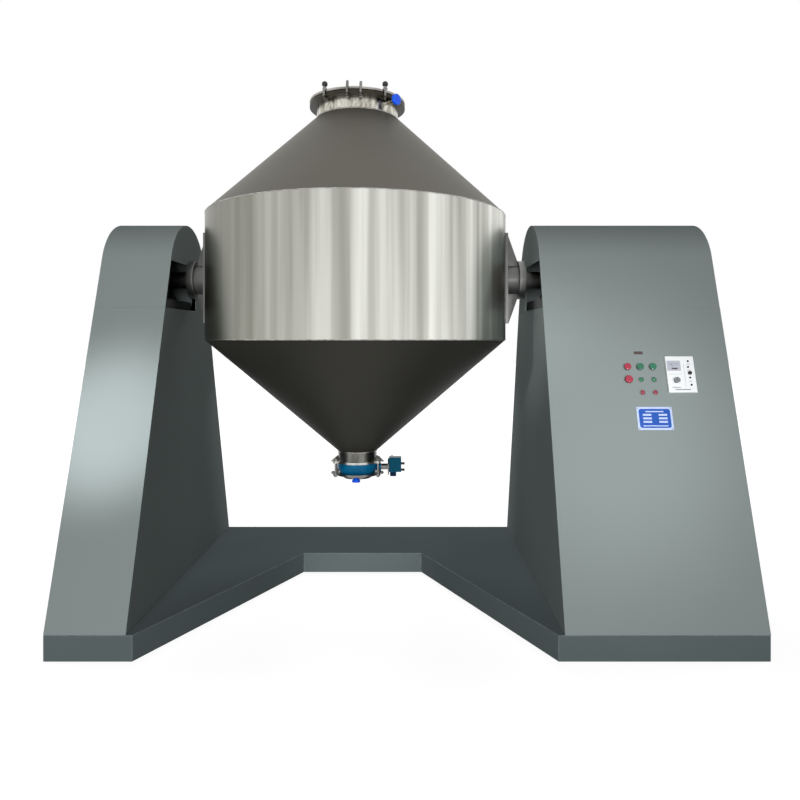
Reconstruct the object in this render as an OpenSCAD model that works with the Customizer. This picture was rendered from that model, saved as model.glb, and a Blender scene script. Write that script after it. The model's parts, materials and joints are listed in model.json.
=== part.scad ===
// Double cone mixer: a biconical stainless drum that turns end over end on two
// trunnions, carried by an idle stand and a wider drive stand on a welded plinth.
// Millimetres. The origin is the middle of the plinth's underside, +Z is up and
// the side with the controls faces -Y.

/* [Stands] */
// Width of the idle stand
idle_stand_w = 295; // [240:1:360]
// Width of the drive stand, which holds the gear motor
drive_stand_w = 735; // [700:1:900]
// Depth of both stands at the plinth
stand_depth = 1410; // [1250:1:1600]
// Radius of the round top of both stands
stand_top_r = 248; // [242:1:300]
// Height of the drum axis above the floor
axis_z = 1425; // [1380:1:1600]
// Thickness of the stands' sheet steel
sheet_t = 3; // [2:0.5:5]
// Height of the seam between casing and top cover, below the drum axis
seam_drop = 140; // [120:1:170]

/* [Plinth] */
// Height of the plinth
base_h = 95; // [80:1:140]
// How far the plinth sticks out past the stands' inner faces
plinth_lip = 24; // [12:1:40]
// Length of the straight front edge of the cross beam
beam_edge_w = 580; // [400:1:700]
// Depth of the cross beam from the back edge
beam_depth = 474; // [380:1:600]
// Plate thickness of the plinth
plinth_t = 6; // [4:1:10]

/* [Drum] */
// Outer radius of the drum's straight cylinder
drum_r = 675; // [600:1:720]
// Height of the straight cylinder
cylinder_h = 550; // [480:1:600]
// Height of the upper cone
upper_cone_h = 458; // [400:1:520]
// Height of the lower cone
lower_cone_h = 507; // [450:1:540]
// Wall of the drum
drum_wall = 4; // [3:0.5:6]
// Space between the drum and the idle stand
idle_gap = 102; // [96:1:140]
// Space between the drum and the drive stand
drive_gap = 118; // [100:1:150]

/* [Feed port] */
// Outer radius of the feed neck
feed_neck_r = 186; // [150:1:190]
// Height of the feed neck
feed_neck_h = 52; // [40:1:80]
// Outer radius of the feed flange and the lid
feed_flange_r = 218; // [214:1:240]
// Thickness of the feed flange
feed_flange_t = 16; // [10:1:24]
// Thickness of the gasket under the lid
gasket_t = 3; // [2:0.5:6]
// Thickness of the lid
lid_t = 10; // [6:1:16]
// Radius of the black ball knobs
ball_knob_r = 13; // [10:1:15]
// Height of the ball knobs' centres above the lid
ball_knob_rise = 32; // [28:1:50]

/* [Outlet] */
// Outer radius of the outlet neck
outlet_neck_r = 88; // [82:1:92]
// Height of the outlet neck
outlet_neck_h = 43; // [36:1:80]
// Thickness of the two outlet flanges
outlet_flange_t = 10; // [8:1:16]
// Height of the butterfly valve's body
valve_h = 46; // [40:1:60]
// Outer radius of the valve's body
valve_r = 92; // [86:1:95]
// Radius of the valve disc
valve_disc_r = 61; // [50:0.5:64]
// Height of the spigot under the lower outlet flange
spigot_h = 15; // [10:1:40]
// Length of the valve's lever from the stem's axis
lever_len = 220; // [160:1:260]

/* [Trunnions] */
// Radius of the shafts in the bearings
shaft_r = 38; // [30:1:42]
// Radius of the hubs on the drum
hub_r = 65; // [55:1:72]
// Radius of the shafts' flanges
ring_r = 88; // [80:1:100]
// Thickness of the shafts' flanges
ring_t = 31; // [20:1:34]
// Thickness of the saddle plates on the drum
saddle_t = 12; // [8:1:16]
// Height of the saddle plates
saddle_h = 400; // [340:1:440]
// Width of the saddle plates round the drum
saddle_w = 240; // [200:1:300]

/* [Chain drive] */
// Pitch of the roller chain
chain_pitch = 31.75; // [30:0.25:32]
// Teeth of the sprocket on the drum's shaft
drum_teeth = 32; // [28:4:32]
// Teeth of the sprocket on the gear motor's shaft
motor_teeth = 16; // [16:4:20]
// Pitches in the closed chain, always an even count
chain_links = 76; // [70:2:78]
// Radius of the chain's rollers
roller_r = 9.5; // [8:0.1:10]

/* [Controls] */
// Radius of the push buttons' bezels
bezel_r = 16; // [14.5:0.5:18]
// Spacing of the buttons and lamps across
button_pitch_x = 51; // [46:1:60]
// Spacing of the rows of buttons and lamps
button_pitch_s = 53; // [50:1:60]
// Travel of the push buttons
button_travel = 3; // [2:0.5:4]
// Width of the speed control unit
unit_w = 113; // [100:1:130]
// Height of the speed control unit
unit_h = 150; // [130:1:160]
// Width of the blank nameplate
plate_w = 140; // [100:1:150]
// Height of the blank nameplate
plate_h = 92; // [60:1:100]

/* [Hidden] */
$fn = 64;

// Overrun of every cut
over = 1;
// Running clearance of shafts and stems, on the radius
run_gap = 0.05;
// Clearance of pieces that sit in or on one another
seat_gap = 0.3;
// Clearance of bolts in their holes, on the radius
bolt_gap = 0.5;

// Places of the stands, the drum and the plinth along X
overall_w = idle_stand_w + idle_gap + 2 * drum_r + drive_gap + drive_stand_w;
idle_out_x = -overall_w / 2;
idle_in_x = idle_out_x + idle_stand_w;
drum_x = idle_in_x + idle_gap + drum_r;
drive_in_x = drum_x + drum_r + drive_gap;
drive_out_x = drive_in_x + drive_stand_w;
half_depth = stand_depth / 2;
seam_z = axis_z - seam_drop;

// Lean of the stands' faces, tangent to the round top and through the plinth's edge
face_reach = norm([half_depth, axis_z - base_h]);
lean = acos(stand_top_r / face_reach) - atan2(axis_z - base_h, half_depth);

// Heights on the drum
cyl_top_z = axis_z + cylinder_h / 2;
cyl_low_z = axis_z - cylinder_h / 2;
feed_z = cyl_top_z + upper_cone_h;
feed_flange_z = feed_z + feed_neck_h;
gasket_z = feed_flange_z + feed_flange_t;
lid_z = gasket_z + gasket_t;
lid_top_z = lid_z + lid_t;
outlet_z = cyl_low_z - lower_cone_h;
outlet_flange_z = outlet_z - outlet_neck_h;
valve_top_z = outlet_flange_z - outlet_flange_t;
valve_low_z = valve_top_z - valve_h;
valve_z = valve_low_z + valve_h / 2;
spigot_top_z = valve_low_z - outlet_flange_t;

// Half depth of a stand's outline at height z, drawn in by an inset
function depth_at(z, inset) = (stand_top_r - inset) / cos(lean) + (axis_z - z) * tan(lean);

// Colours, as photographed
paint = [0.52, 0.54, 0.54];
plinth_paint = [0.36, 0.38, 0.38];
steel = [0.76, 0.76, 0.72];
dull_steel = [0.45, 0.44, 0.40];
dark_steel = [0.22, 0.22, 0.23];
rubber = [0.08, 0.08, 0.08];
valve_blue = [0.04, 0.31, 0.51];
knob_blue = [0.02, 0.32, 0.90];
button_red = [0.75, 0.10, 0.14];
button_green = [0.05, 0.50, 0.30];
unit_white = [0.93, 0.94, 0.94];
window_grey = [0.72, 0.75, 0.78];
lens_red = [0.45, 0.08, 0.14];
plate_blue = [0.10, 0.25, 0.62];
label_brown = [0.25, 0.18, 0.17];
drive_blue = [0.20, 0.34, 0.46];
bronze = [0.70, 0.52, 0.25];

// Sides of the hexagon heads and nuts
hex_sides = 6;

// Lays a Y-Z outline on the Y-Z plane and gives it a thickness from x0 to x1
module slab(x0, x1) {
    translate([x0, 0, 0])
        rotate([90, 0, 90])
            linear_extrude(x1 - x0)
                children();
}

// A cylinder along X from x0 to x1 round the given axis
module rod_x(x0, x1, r, y = 0, z = axis_z) {
    translate([x0, y, z])
        rotate([0, 90, 0])
            cylinder(h = x1 - x0, r = r);
}

// A block between two corners
module block(low, high) {
    translate(low)
        cube(high - low);
}

// Plinth: a closed welded box under both stands, joined by the cross beam at the back
foot_idle_x = idle_in_x + plinth_lip;
foot_drive_x = drive_in_x - plinth_lip;
foot_mid_x = (foot_idle_x + foot_drive_x) / 2;
beam_x0 = foot_mid_x - beam_edge_w / 2;
beam_x1 = foot_mid_x + beam_edge_w / 2;
beam_front_y = half_depth - beam_depth;
brace_run = beam_x0 - foot_idle_x;
brace_rise = beam_front_y + half_depth;
brace_len = norm([brace_run, brace_rise]);

module plinth_outline() {
    polygon([
        [idle_out_x, -half_depth],
        [foot_idle_x, -half_depth],
        [beam_x0, beam_front_y],
        [beam_x1, beam_front_y],
        [foot_drive_x, -half_depth],
        [drive_out_x, -half_depth],
        [drive_out_x, half_depth],
        [idle_out_x, half_depth]
    ]);
}

// The hollow between the feet, its edges set back by t from the outer edges
module beam_pocket(t) {
    start_y = -half_depth + (brace_rise * t + brace_len * t) / brace_run;
    turn = brace_run * (brace_rise + t - brace_len * t / brace_run) / brace_rise;
    polygon([
        [foot_idle_x + t, start_y],
        [foot_idle_x + turn, beam_front_y + t],
        [foot_drive_x - turn, beam_front_y + t],
        [foot_drive_x - t, start_y],
        [foot_drive_x - t, half_depth - t],
        [foot_idle_x + t, half_depth - t]
    ]);
}

module foot_pocket(x0, x1, t) {
    translate([x0 + t, -half_depth + t])
        square([x1 - x0 - 2 * t, 2 * (half_depth - t)]);
}

module plinth_pockets(t) {
    foot_pocket(idle_out_x, foot_idle_x, t);
    foot_pocket(foot_drive_x, drive_out_x, t);
    beam_pocket(t);
}

module plinth() {
    color(plinth_paint)
        difference() {
            linear_extrude(base_h)
                plinth_outline();
            translate([0, 0, plinth_t])
                linear_extrude(base_h - 2 * plinth_t)
                    plinth_pockets(plinth_t);
        }
}

// Casings: four leaning sheets with a folded flange along the top edge
seam_flange_w = 24;

module casing_outline(inset, z0, z1) {
    polygon([
        [-depth_at(z0, inset), z0],
        [depth_at(z0, inset), z0],
        [depth_at(z1, inset), z1],
        [-depth_at(z1, inset), z1]
    ]);
}

module casing_shell(x0, x1) {
    difference() {
        slab(x0, x1)
            casing_outline(0, base_h, seam_z);
        slab(x0 + sheet_t, x1 - sheet_t)
            casing_outline(sheet_t, base_h - over, seam_z - sheet_t);
        slab(x0 + seam_flange_w, x1 - seam_flange_w)
            casing_outline(seam_flange_w, seam_z - sheet_t - over, seam_z + over);
    }
}

module idle_casing() {
    color(paint)
        casing_shell(idle_out_x, idle_in_x);
}

module drive_casing() {
    color(paint)
        difference() {
            casing_shell(drive_in_x, drive_out_x);
            for (place = concat(button_places, [stop_place], lamp_places))
                on_face(place)
                    translate([0, 0, -sheet_t - over])
                        cylinder(h = sheet_t + 2 * over, r = panel_hole_r);
            on_face(unit_place)
                block([-unit_w / 2 + unit_rim, -unit_h / 2 + unit_rim, -sheet_t - over],
                    [unit_w / 2 - unit_rim, unit_h / 2 - unit_rim, over]);
        }
}

// Top covers: round hoods, open below, with a cut-out for the shaft in the inner side
slot_up = 65;
slot_back = 100;
slot_lip = 8;

// Outline of a hood: the leaning part up to the tangent line, and the round part above it
module cover_outline(inset, z0) {
    top_r = stand_top_r - inset;
    chord_z = axis_z + top_r * sin(lean);
    polygon([
        [-depth_at(z0, inset), z0],
        [depth_at(z0, inset), z0],
        [top_r * cos(lean), chord_z],
        [-top_r * cos(lean), chord_z]
    ]);
    intersection() {
        translate([0, axis_z])
            circle(top_r);
        translate([-stand_top_r, chord_z])
            square([2 * stand_top_r, stand_top_r]);
    }
}

module cover_shell(x0, x1) {
    difference() {
        slab(x0, x1)
            cover_outline(0, seam_z);
        slab(x0 + sheet_t, x1 - sheet_t)
            cover_outline(sheet_t, seam_z + sheet_t);
        slab(x0 + seam_flange_w, x1 - seam_flange_w)
            casing_outline(seam_flange_w, seam_z - over, seam_z + sheet_t + over);
    }
}

// Cut through one side sheet and its flange, from a lip at the front to behind the shaft
module shaft_cut(x0, x1) {
    low = seam_z - over;
    high = axis_z + slot_up;
    slab(x0, x1)
        polygon([
            [-depth_at(low, slot_lip), low],
            [slot_back, low],
            [slot_back, high],
            [-depth_at(high, slot_lip), high]
        ]);
}

module idle_cover() {
    color(paint)
        difference() {
            cover_shell(idle_out_x, idle_in_x);
            shaft_cut(idle_in_x - seam_flange_w - over, idle_in_x + over);
        }
}

module drive_cover() {
    color(paint)
        difference() {
            cover_shell(drive_in_x, drive_out_x);
            shaft_cut(drive_in_x - over, drive_in_x + seam_flange_w + over);
        }
}

// Bearing frames: two channel A-frames under a machined seat
block_w = 70;
block_len = 280;
block_foot_h = 28;
block_rise = 90;
block_r = 74;
bush_t = 10;
block_hole_y = 110;
bolt_r = 10;
nut_r = 17;
nut_h = 14;
head_h = 12;
seat_t = 20;
seat_w = 160;
frame_inset = 60;
leg_w = 80;
web_t = 10;
channel_w = 45;
tie_z = 620;
tie_h = 90;
seat_z = axis_z - block_rise;
head_z = seat_z - seat_t;
idle_bearing_x = (idle_out_x + idle_in_x) / 2;
drive_bearing_in = 110;
drive_bearing_x = drive_in_x + drive_bearing_in;

// Outline of one A-frame, with two windows
module a_outline() {
    difference() {
        casing_outline(frame_inset, base_h, head_z);
        casing_outline(frame_inset + leg_w, base_h - over, tie_z);
        casing_outline(frame_inset + leg_w, tie_z + tie_h, head_z - tie_h);
    }
}

// Outer flanges of the legs
module a_flanges() {
    difference() {
        casing_outline(frame_inset, base_h, head_z);
        casing_outline(frame_inset + web_t, base_h - over, head_z + over);
    }
}

module bearing_frame(x) {
    half_w = seat_w / 2;
    difference() {
        union() {
            for (side = [-1, 1]) {
                web_x = side > 0 ? half_w - web_t : -half_w;
                flange_x = side > 0 ? half_w - channel_w : -half_w;
                slab(x + web_x, x + web_x + web_t)
                    a_outline();
                slab(x + flange_x, x + flange_x + channel_w)
                    a_flanges();
            }
            block([x - half_w, -depth_at(head_z, frame_inset), head_z],
                [x + half_w, depth_at(head_z, frame_inset), seat_z]);
        }
        for (y = [-block_hole_y, block_hole_y])
            translate([x, y, head_z - over])
                cylinder(h = seat_t + 2 * over, r = bolt_r + bolt_gap);
    }
}

module idle_frame() {
    color(plinth_paint)
        bearing_frame(idle_bearing_x);
}

module drive_frame() {
    color(plinth_paint)
        bearing_frame(drive_bearing_x);
}

// Plummer blocks with bronze bushes
module plummer_block(x) {
    difference() {
        union() {
            block([x - block_w / 2, -block_len / 2, seat_z],
                [x + block_w / 2, block_len / 2, seat_z + block_foot_h]);
            block([x - block_w / 2, -block_r, seat_z], [x + block_w / 2, block_r, axis_z]);
            rod_x(x - block_w / 2, x + block_w / 2, block_r);
        }
        rod_x(x - block_w / 2 - over, x + block_w / 2 + over, shaft_r + bush_t + run_gap);
        for (y = [-block_hole_y, block_hole_y])
            translate([x, y, seat_z - over])
                cylinder(h = block_foot_h + 2 * over, r = bolt_r + bolt_gap);
    }
}

module bush(x) {
    difference() {
        rod_x(x - block_w / 2, x + block_w / 2, shaft_r + bush_t);
        rod_x(x - block_w / 2 - over, x + block_w / 2 + over, shaft_r + run_gap);
    }
}

module idle_bearing() {
    color(dark_steel)
        plummer_block(idle_bearing_x);
}

module drive_bearing() {
    color(dark_steel)
        plummer_block(drive_bearing_x);
}

module idle_bush() {
    color(bronze)
        bush(idle_bearing_x);
}

module drive_bush() {
    color(bronze)
        bush(drive_bearing_x);
}

// Hexagon bolt down through a seat, with its nut under it
module through_bolt(x, y, top_z, under_z, r) {
    translate([x, y, under_z - nut_h])
        cylinder(h = nut_h, r = nut_r, $fn = hex_sides);
    translate([x, y, under_z - nut_h])
        cylinder(h = top_z - under_z + nut_h + head_h, r = r);
    translate([x, y, top_z])
        cylinder(h = head_h, r = nut_r, $fn = hex_sides);
}

module bearing_bolts() {
    color(steel)
        for (x = [idle_bearing_x, drive_bearing_x], y = [-block_hole_y, block_hole_y])
            through_bolt(x, y, seat_z + block_foot_h, head_z, bolt_r);
}

// Chain drive: the distance between the shafts follows from the chain's length
drum_pitch_r = chain_pitch / (2 * sin(180 / drum_teeth));
motor_pitch_r = chain_pitch / (2 * sin(180 / motor_teeth));
sprocket_w = 17;
roller_gap = 0.4;
plate_t = 4;
plate_gap = 0.4;
pin_r = 4.8;
hub_wall = 22;
drum_hub_l = 60;
light_hole_r = 27;
light_hole_at = 105;
light_holes = 6;
chain_out = 140;
chain_x = drive_bearing_x + chain_out;

// Angle by which the strands lean from the line between the shafts
function strand_lean(c) = asin((drum_pitch_r - motor_pitch_r) / c);
function straight_pitches(c) = c * cos(strand_lean(c)) / chain_pitch;
function loop_pitches(c) =
    2 * straight_pitches(c)
    + drum_teeth * (180 + 2 * strand_lean(c)) / 360
    + motor_teeth * (180 - 2 * strand_lean(c)) / 360;
// Shaft distance at which the loop holds a whole number of pitches
solve_rounds = 12;
function solve_distance(c, rounds) =
    rounds <= 0 ? c : solve_distance(c + (chain_links - loop_pitches(c)) * chain_pitch / 2, rounds - 1);
shaft_distance = solve_distance(chain_links * chain_pitch / 3, solve_rounds);
motor_axis_z = axis_z - shaft_distance;
strand_angle = strand_lean(shaft_distance);
drum_arc = drum_teeth * (180 + 2 * strand_angle) / 360;
strand = straight_pitches(shaft_distance);
motor_arc = motor_teeth * (180 - 2 * strand_angle) / 360;

// Roller k in the Y-Z plane: over the drum sprocket, down, round the small one and up
function on_circle(r, angle, z) = [r * cos(angle), z + r * sin(angle)];
function drum_tangent(side) = on_circle(drum_pitch_r, 90 + side * (90 + strand_angle), axis_z);
function motor_tangent(side) = on_circle(motor_pitch_r, 90 + side * (90 + strand_angle), motor_axis_z);
function roller_at(k) =
    k <= drum_arc
        ? on_circle(drum_pitch_r, -strand_angle + k * 360 / drum_teeth, axis_z)
    : k <= drum_arc + strand
        ? let (t = (k - drum_arc) / strand) drum_tangent(1) * (1 - t) + motor_tangent(1) * t
    : k <= drum_arc + strand + motor_arc
        ? on_circle(motor_pitch_r,
            180 + strand_angle + (k - drum_arc - strand) * 360 / motor_teeth, motor_axis_z)
    : let (t = (k - drum_arc - strand - motor_arc) / strand)
        motor_tangent(-1) * (1 - t) + drum_tangent(-1) * t;

// Angle of one seat of each sprocket, so that the rollers lie in the seats
drum_phase = -strand_angle;
first_motor_roller = ceil(drum_arc + strand);
motor_phase = 180 + strand_angle + (first_motor_roller - drum_arc - strand) * 360 / motor_teeth;

// One tooth space of a sprocket, counterclockwise: the round seat, then both flanks of
// the next tooth. The flanks are arcs about the neighbouring rollers, so that a roller
// lifts out freely.
flank_steps = 3;
seat_steps = 6;
tip_share = 0.85;

function tooth_points(teeth, pitch_r, k, phase) =
    let (
        step = 360 / teeth,
        here = phase + k * step,
        seat = on_circle(pitch_r, here, 0),
        next = on_circle(pitch_r, here + step, 0),
        seat_r = roller_r + roller_gap,
        flank_r = chain_pitch - seat_r,
        tip_r = pitch_r + roller_r * tip_share,
        tip_cos = (tip_r * tip_r - pitch_r * pitch_r - flank_r * flank_r) / (2 * pitch_r * flank_r),
        sweep = 90 + step / 2 - acos(tip_cos)
    )
    concat(
        [for (i = [0:seat_steps])
            let (a = here + 270 - step / 2 - i * (180 - step) / seat_steps)
                seat + seat_r * [cos(a), sin(a)]],
        [for (i = [1:flank_steps])
            let (a = here + step + 270 - step / 2 + i * sweep / flank_steps)
                next + flank_r * [cos(a), sin(a)]],
        [for (i = [flank_steps:-1:1])
            let (a = here + 90 + step / 2 - i * sweep / flank_steps)
                seat + flank_r * [cos(a), sin(a)]]
    );

module sprocket(teeth, pitch_r, phase, z, bore_r, hub_l) {
    difference() {
        union() {
            translate([0, 0, z])
                slab(chain_x - sprocket_w / 2, chain_x + sprocket_w / 2)
                    polygon([for (k = [0:teeth - 1]) each tooth_points(teeth, pitch_r, k, phase)]);
            rod_x(chain_x - sprocket_w / 2, chain_x - sprocket_w / 2 + hub_l, bore_r + hub_wall, z = z);
        }
        rod_x(chain_x - hub_l, chain_x + hub_l, bore_r, z = z);
    }
}

module drum_sprocket() {
    color(dull_steel)
        difference() {
            sprocket(drum_teeth, drum_pitch_r, drum_phase, axis_z, shaft_r + run_gap, drum_hub_l);
            for (k = [0:light_holes - 1])
                let (at = on_circle(light_hole_at, k * 360 / light_holes, axis_z))
                    rod_x(chain_x - sprocket_w, chain_x + sprocket_w, light_hole_r, at[0], at[1]);
        }
}

// Roller chain: rollers on every pitch, inner and outer plates in turn, pins through all
roller_w = 18;
plate_r = 13;
waist_h = 20;
pin_half = roller_w / 2 + 2 * plate_t + plate_gap + plate_t / 2;

module link_plates(k, inner) {
    p = roller_at(k);
    q = roller_at((k + 1) % chain_links);
    span = norm(q - p);
    turn = atan2(q[1] - p[1], q[0] - p[0]);
    x_in = roller_w / 2 + (inner ? 0 : plate_t + plate_gap);
    for (side = [-1, 1]) {
        mid_x = chain_x + side * (x_in + plate_t / 2);
        slab(mid_x - plate_t / 2, mid_x + plate_t / 2)
            translate(p)
                rotate(turn) {
                    circle(plate_r);
                    translate([span, 0])
                        circle(plate_r);
                    translate([0, -waist_h / 2])
                        square([span, waist_h]);
                }
    }
}

module roller_chain() {
    color(dark_steel)
        for (k = [0:chain_links - 1]) {
            p = roller_at(k);
            rod_x(chain_x - roller_w / 2, chain_x + roller_w / 2, roller_r, p[0], p[1]);
            rod_x(chain_x - pin_half, chain_x + pin_half, pin_r, p[0], p[1]);
            link_plates(k, k % 2 == 0);
        }
}

// Gear motor on its stool: foot-mounted reducer, flanged motor with cooling fins
out_shaft_r = 24;
stool_top_t = 16;
stool_len = 420;
stool_y = 150;
stool_leg_w = 60;
gear_rise = 160;
gear_r = 125;
gear_gap = 45;
gear_x0 = chain_x + gear_gap;
gear_l = 170;
gear_foot_h = 20;
gear_hole_y = 115;
gear_foot_in = 60;
gear_foot_y = 145;
gear_web_y = 80;
motor_r = 95;
motor_l = 230;
cowl_l = 46;
fin_count = 24;
fin_h = 10;
fin_w = 4;
flange_l = 14;
terminal_at = 58;
terminal_l = 80;
terminal_up = 30;
out_bore_l = 113;
stool_z = motor_axis_z - gear_rise;
stool_out = 20;
stool_x0 = gear_x0 - stool_out;

module motor_stool() {
    color(plinth_paint)
        difference() {
            union() {
                block([stool_x0, -stool_y, stool_z - stool_top_t],
                    [stool_x0 + stool_len, stool_y, stool_z]);
                for (x = [stool_x0, stool_x0 + stool_len - stool_leg_w],
                    y = [-stool_y, stool_y - stool_leg_w])
                    block([x, y, base_h], [x + stool_leg_w, y + stool_leg_w, stool_z - stool_top_t]);
            }
            for (x = [gear_x0 + gear_foot_in, gear_x0 + gear_l - gear_foot_in],
                y = [-gear_hole_y, gear_hole_y])
                translate([x, y, stool_z - stool_top_t - over])
                    cylinder(h = stool_top_t + 2 * over, r = bolt_r + bolt_gap);
        }
}

module gearbox() {
    color(drive_blue)
        difference() {
            union() {
                rod_x(gear_x0, gear_x0 + gear_l, gear_r, z = motor_axis_z);
                block([gear_x0, -gear_foot_y, stool_z],
                    [gear_x0 + gear_l, gear_foot_y, stool_z + gear_foot_h]);
                block([gear_x0, -gear_web_y, stool_z], [gear_x0 + gear_l, gear_web_y, motor_axis_z]);
            }
            rod_x(gear_x0 - over, gear_x0 + out_bore_l, out_shaft_r + run_gap, z = motor_axis_z);
            for (x = [gear_x0 + gear_foot_in, gear_x0 + gear_l - gear_foot_in],
                y = [-gear_hole_y, gear_hole_y])
                translate([x, y, stool_z - over])
                    cylinder(h = gear_foot_h + 2 * over, r = bolt_r + bolt_gap);
        }
}

module motor() {
    x0 = gear_x0 + gear_l;
    color(drive_blue) {
        rod_x(x0, x0 + flange_l, gear_r, z = motor_axis_z);
        rod_x(x0 + flange_l, x0 + motor_l, motor_r - fin_h, z = motor_axis_z);
        rod_x(x0 + motor_l - cowl_l, x0 + motor_l, motor_r, z = motor_axis_z);
        for (k = [0:fin_count - 1])
            translate([0, 0, motor_axis_z])
                rotate([k * 360 / fin_count, 0, 0])
                    block([x0 + flange_l, -fin_w / 2, motor_r - 2 * fin_h],
                        [x0 + motor_l - cowl_l, fin_w / 2, motor_r]);
        block([x0 + terminal_at, -motor_r / 2, motor_axis_z + motor_r / 2],
            [x0 + terminal_at + terminal_l, motor_r / 2, motor_axis_z + motor_r + terminal_up]);
    }
}

module motor_bolts() {
    color(steel)
        for (x = [gear_x0 + gear_foot_in, gear_x0 + gear_l - gear_foot_in], y = [-gear_hole_y, gear_hole_y])
            through_bolt(x, y, stool_z + gear_foot_h, stool_z - stool_top_t, bolt_r);
}

// Output shaft of the gear motor with the small sprocket
module motor_sprocket() {
    color(dull_steel) {
        sprocket(motor_teeth, motor_pitch_r, motor_phase, motor_axis_z, out_shaft_r, drum_hub_l / 2);
        rod_x(chain_x - sprocket_w, gear_x0 + gear_l / 2, out_shaft_r, z = motor_axis_z);
    }
}

// Controls on the drive casing's leaning front. A place is [across, up the face]
panel_x = 323;
panel_s = 997;
button_places = [for (i = [0:2]) [panel_x + i * button_pitch_x, panel_s]];
stop_place = [panel_x, panel_s - button_pitch_s];
lamp_places = [for (row = [1:2], i = [1:2]) [panel_x + i * button_pitch_x, panel_s - row * button_pitch_s]];
unit_place = [532, 963];
unit_rim = 8;
unit_proud = 12;
unit_depth = 60;
plate_place = [411, 786];
plate_t_thin = 1.5;
label_place = [374, 1056];
label_w = 36;
label_h = 12;
bezel_h = 4;
lamp_bezel_r = 12;
lamp_bezel_h = 3;
lens_r = 9.5;
lens_h = 5;
barrel_r = 10.9;
barrel_l = 34;
barrel_floor_t = 3;
panel_hole_r = barrel_r + seat_gap;
plunger_z = -barrel_l + barrel_floor_t + button_travel + seat_gap;
plunger_r = 9.4;
cap_r = 14;
cap_h = 5;
button_head_z = bezel_h + button_travel + seat_gap;
stop_r = 17;
stop_top_r = 13.5;
stop_h = 9;
stop_stem_r = 7;

module on_face(place) {
    translate([
        drive_in_x + place[0],
        -half_depth + place[1] * sin(lean),
        base_h + place[1] * cos(lean)
    ])
        rotate([90 - lean, 0, 0])
            children();
}

// Bezel with its barrel behind the sheet, bored for the plunger or the lens
module bezel(r, h, bore_r) {
    difference() {
        union() {
            cylinder(h = h, r = r);
            translate([0, 0, -barrel_l])
                cylinder(h = barrel_l, r = barrel_r);
        }
        translate([0, 0, -barrel_l + barrel_floor_t])
            cylinder(h = barrel_l + h, r = bore_r);
    }
}

module bezels() {
    color(steel) {
        for (place = button_places)
            on_face(place)
                bezel(bezel_r, bezel_h, plunger_r + run_gap);
        on_face(stop_place)
            bezel(bezel_r, bezel_h, stop_stem_r + run_gap);
        for (place = lamp_places)
            on_face(place)
                bezel(lamp_bezel_r, lamp_bezel_h, lens_r + run_gap);
    }
}

module lens(place) {
    on_face(place) {
        translate([0, 0, -barrel_l / 2])
            cylinder(h = barrel_l / 2 + lamp_bezel_h, r = lens_r);
        intersection() {
            translate([0, 0, lamp_bezel_h - lens_r])
                sphere(r = lens_r * sqrt(2));
            translate([0, 0, lamp_bezel_h])
                cylinder(h = lens_h, r = lens_r);
        }
    }
}

module green_lenses() {
    color(button_green) {
        lens(lamp_places[0]);
        lens(lamp_places[1]);
    }
}

module red_lenses() {
    color(lens_red) {
        lens(lamp_places[2]);
        lens(lamp_places[3]);
    }
}

// Push button: a wide cap on a plunger, stopped by the barrel's floor
module push_button(place) {
    on_face(place) {
        translate([0, 0, plunger_z])
            cylinder(h = button_head_z - plunger_z + cap_h / 2, r = plunger_r);
        translate([0, 0, button_head_z])
            cylinder(h = cap_h, r = cap_r);
    }
}

module red_button() {
    color(button_red)
        push_button(button_places[0]);
}

module green_button_a() {
    color(button_green)
        push_button(button_places[1]);
}

module green_button_b() {
    color(button_green)
        push_button(button_places[2]);
}

// Stop button: a mushroom head on a stem
module stop_button() {
    color(button_red)
        on_face(stop_place) {
            translate([0, 0, plunger_z])
                cylinder(h = button_head_z - plunger_z + stop_h / 2, r = stop_stem_r);
            translate([0, 0, button_head_z])
                cylinder(h = stop_h, r1 = stop_r, r2 = stop_top_r);
        }
}

// Speed control unit: a flanged white case set into the sheet
window_w = 54;
window_h = 42;
window_at = [-25, 36];
window_sink = 2;
dial_at = [-22, -26];
dial_r = 11;
dial_h = 14;
dial_shaft_r = 3;
fuse_at = [35, 5];
fuse_r = 8;
small_at = [[33, 54], [31, 30], [34, -14], [36, -44]];
small_r = 4;
fuse_h = 5;

module control_unit() {
    color(unit_white)
        on_face(unit_place)
            difference() {
                union() {
                    block([-unit_w / 2, -unit_h / 2, 0], [unit_w / 2, unit_h / 2, unit_proud]);
                    block([-unit_w / 2 + unit_rim + seat_gap, -unit_h / 2 + unit_rim + seat_gap, -unit_depth],
                        [unit_w / 2 - unit_rim - seat_gap, unit_h / 2 - unit_rim - seat_gap, unit_proud / 2]);
                }
                translate([window_at[0], window_at[1], unit_proud])
                    cube([window_w, window_h, 2 * window_sink], center = true);
                translate([dial_at[0], dial_at[1], -unit_proud])
                    cylinder(h = 3 * unit_proud, r = dial_shaft_r + run_gap);
            }
}

module unit_window() {
    color(window_grey)
        on_face(unit_place)
            translate([window_at[0], window_at[1], unit_proud - window_sink / 2])
                cube([window_w - 2 * seat_gap, window_h - 2 * seat_gap, window_sink], center = true);
}

module unit_caps() {
    color(rubber)
        on_face(unit_place) {
            translate([fuse_at[0], fuse_at[1], unit_proud])
                cylinder(h = fuse_h, r = fuse_r);
            for (at = small_at)
                translate([at[0], at[1], unit_proud])
                    cylinder(h = fuse_h / 2, r = small_r);
        }
}

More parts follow.
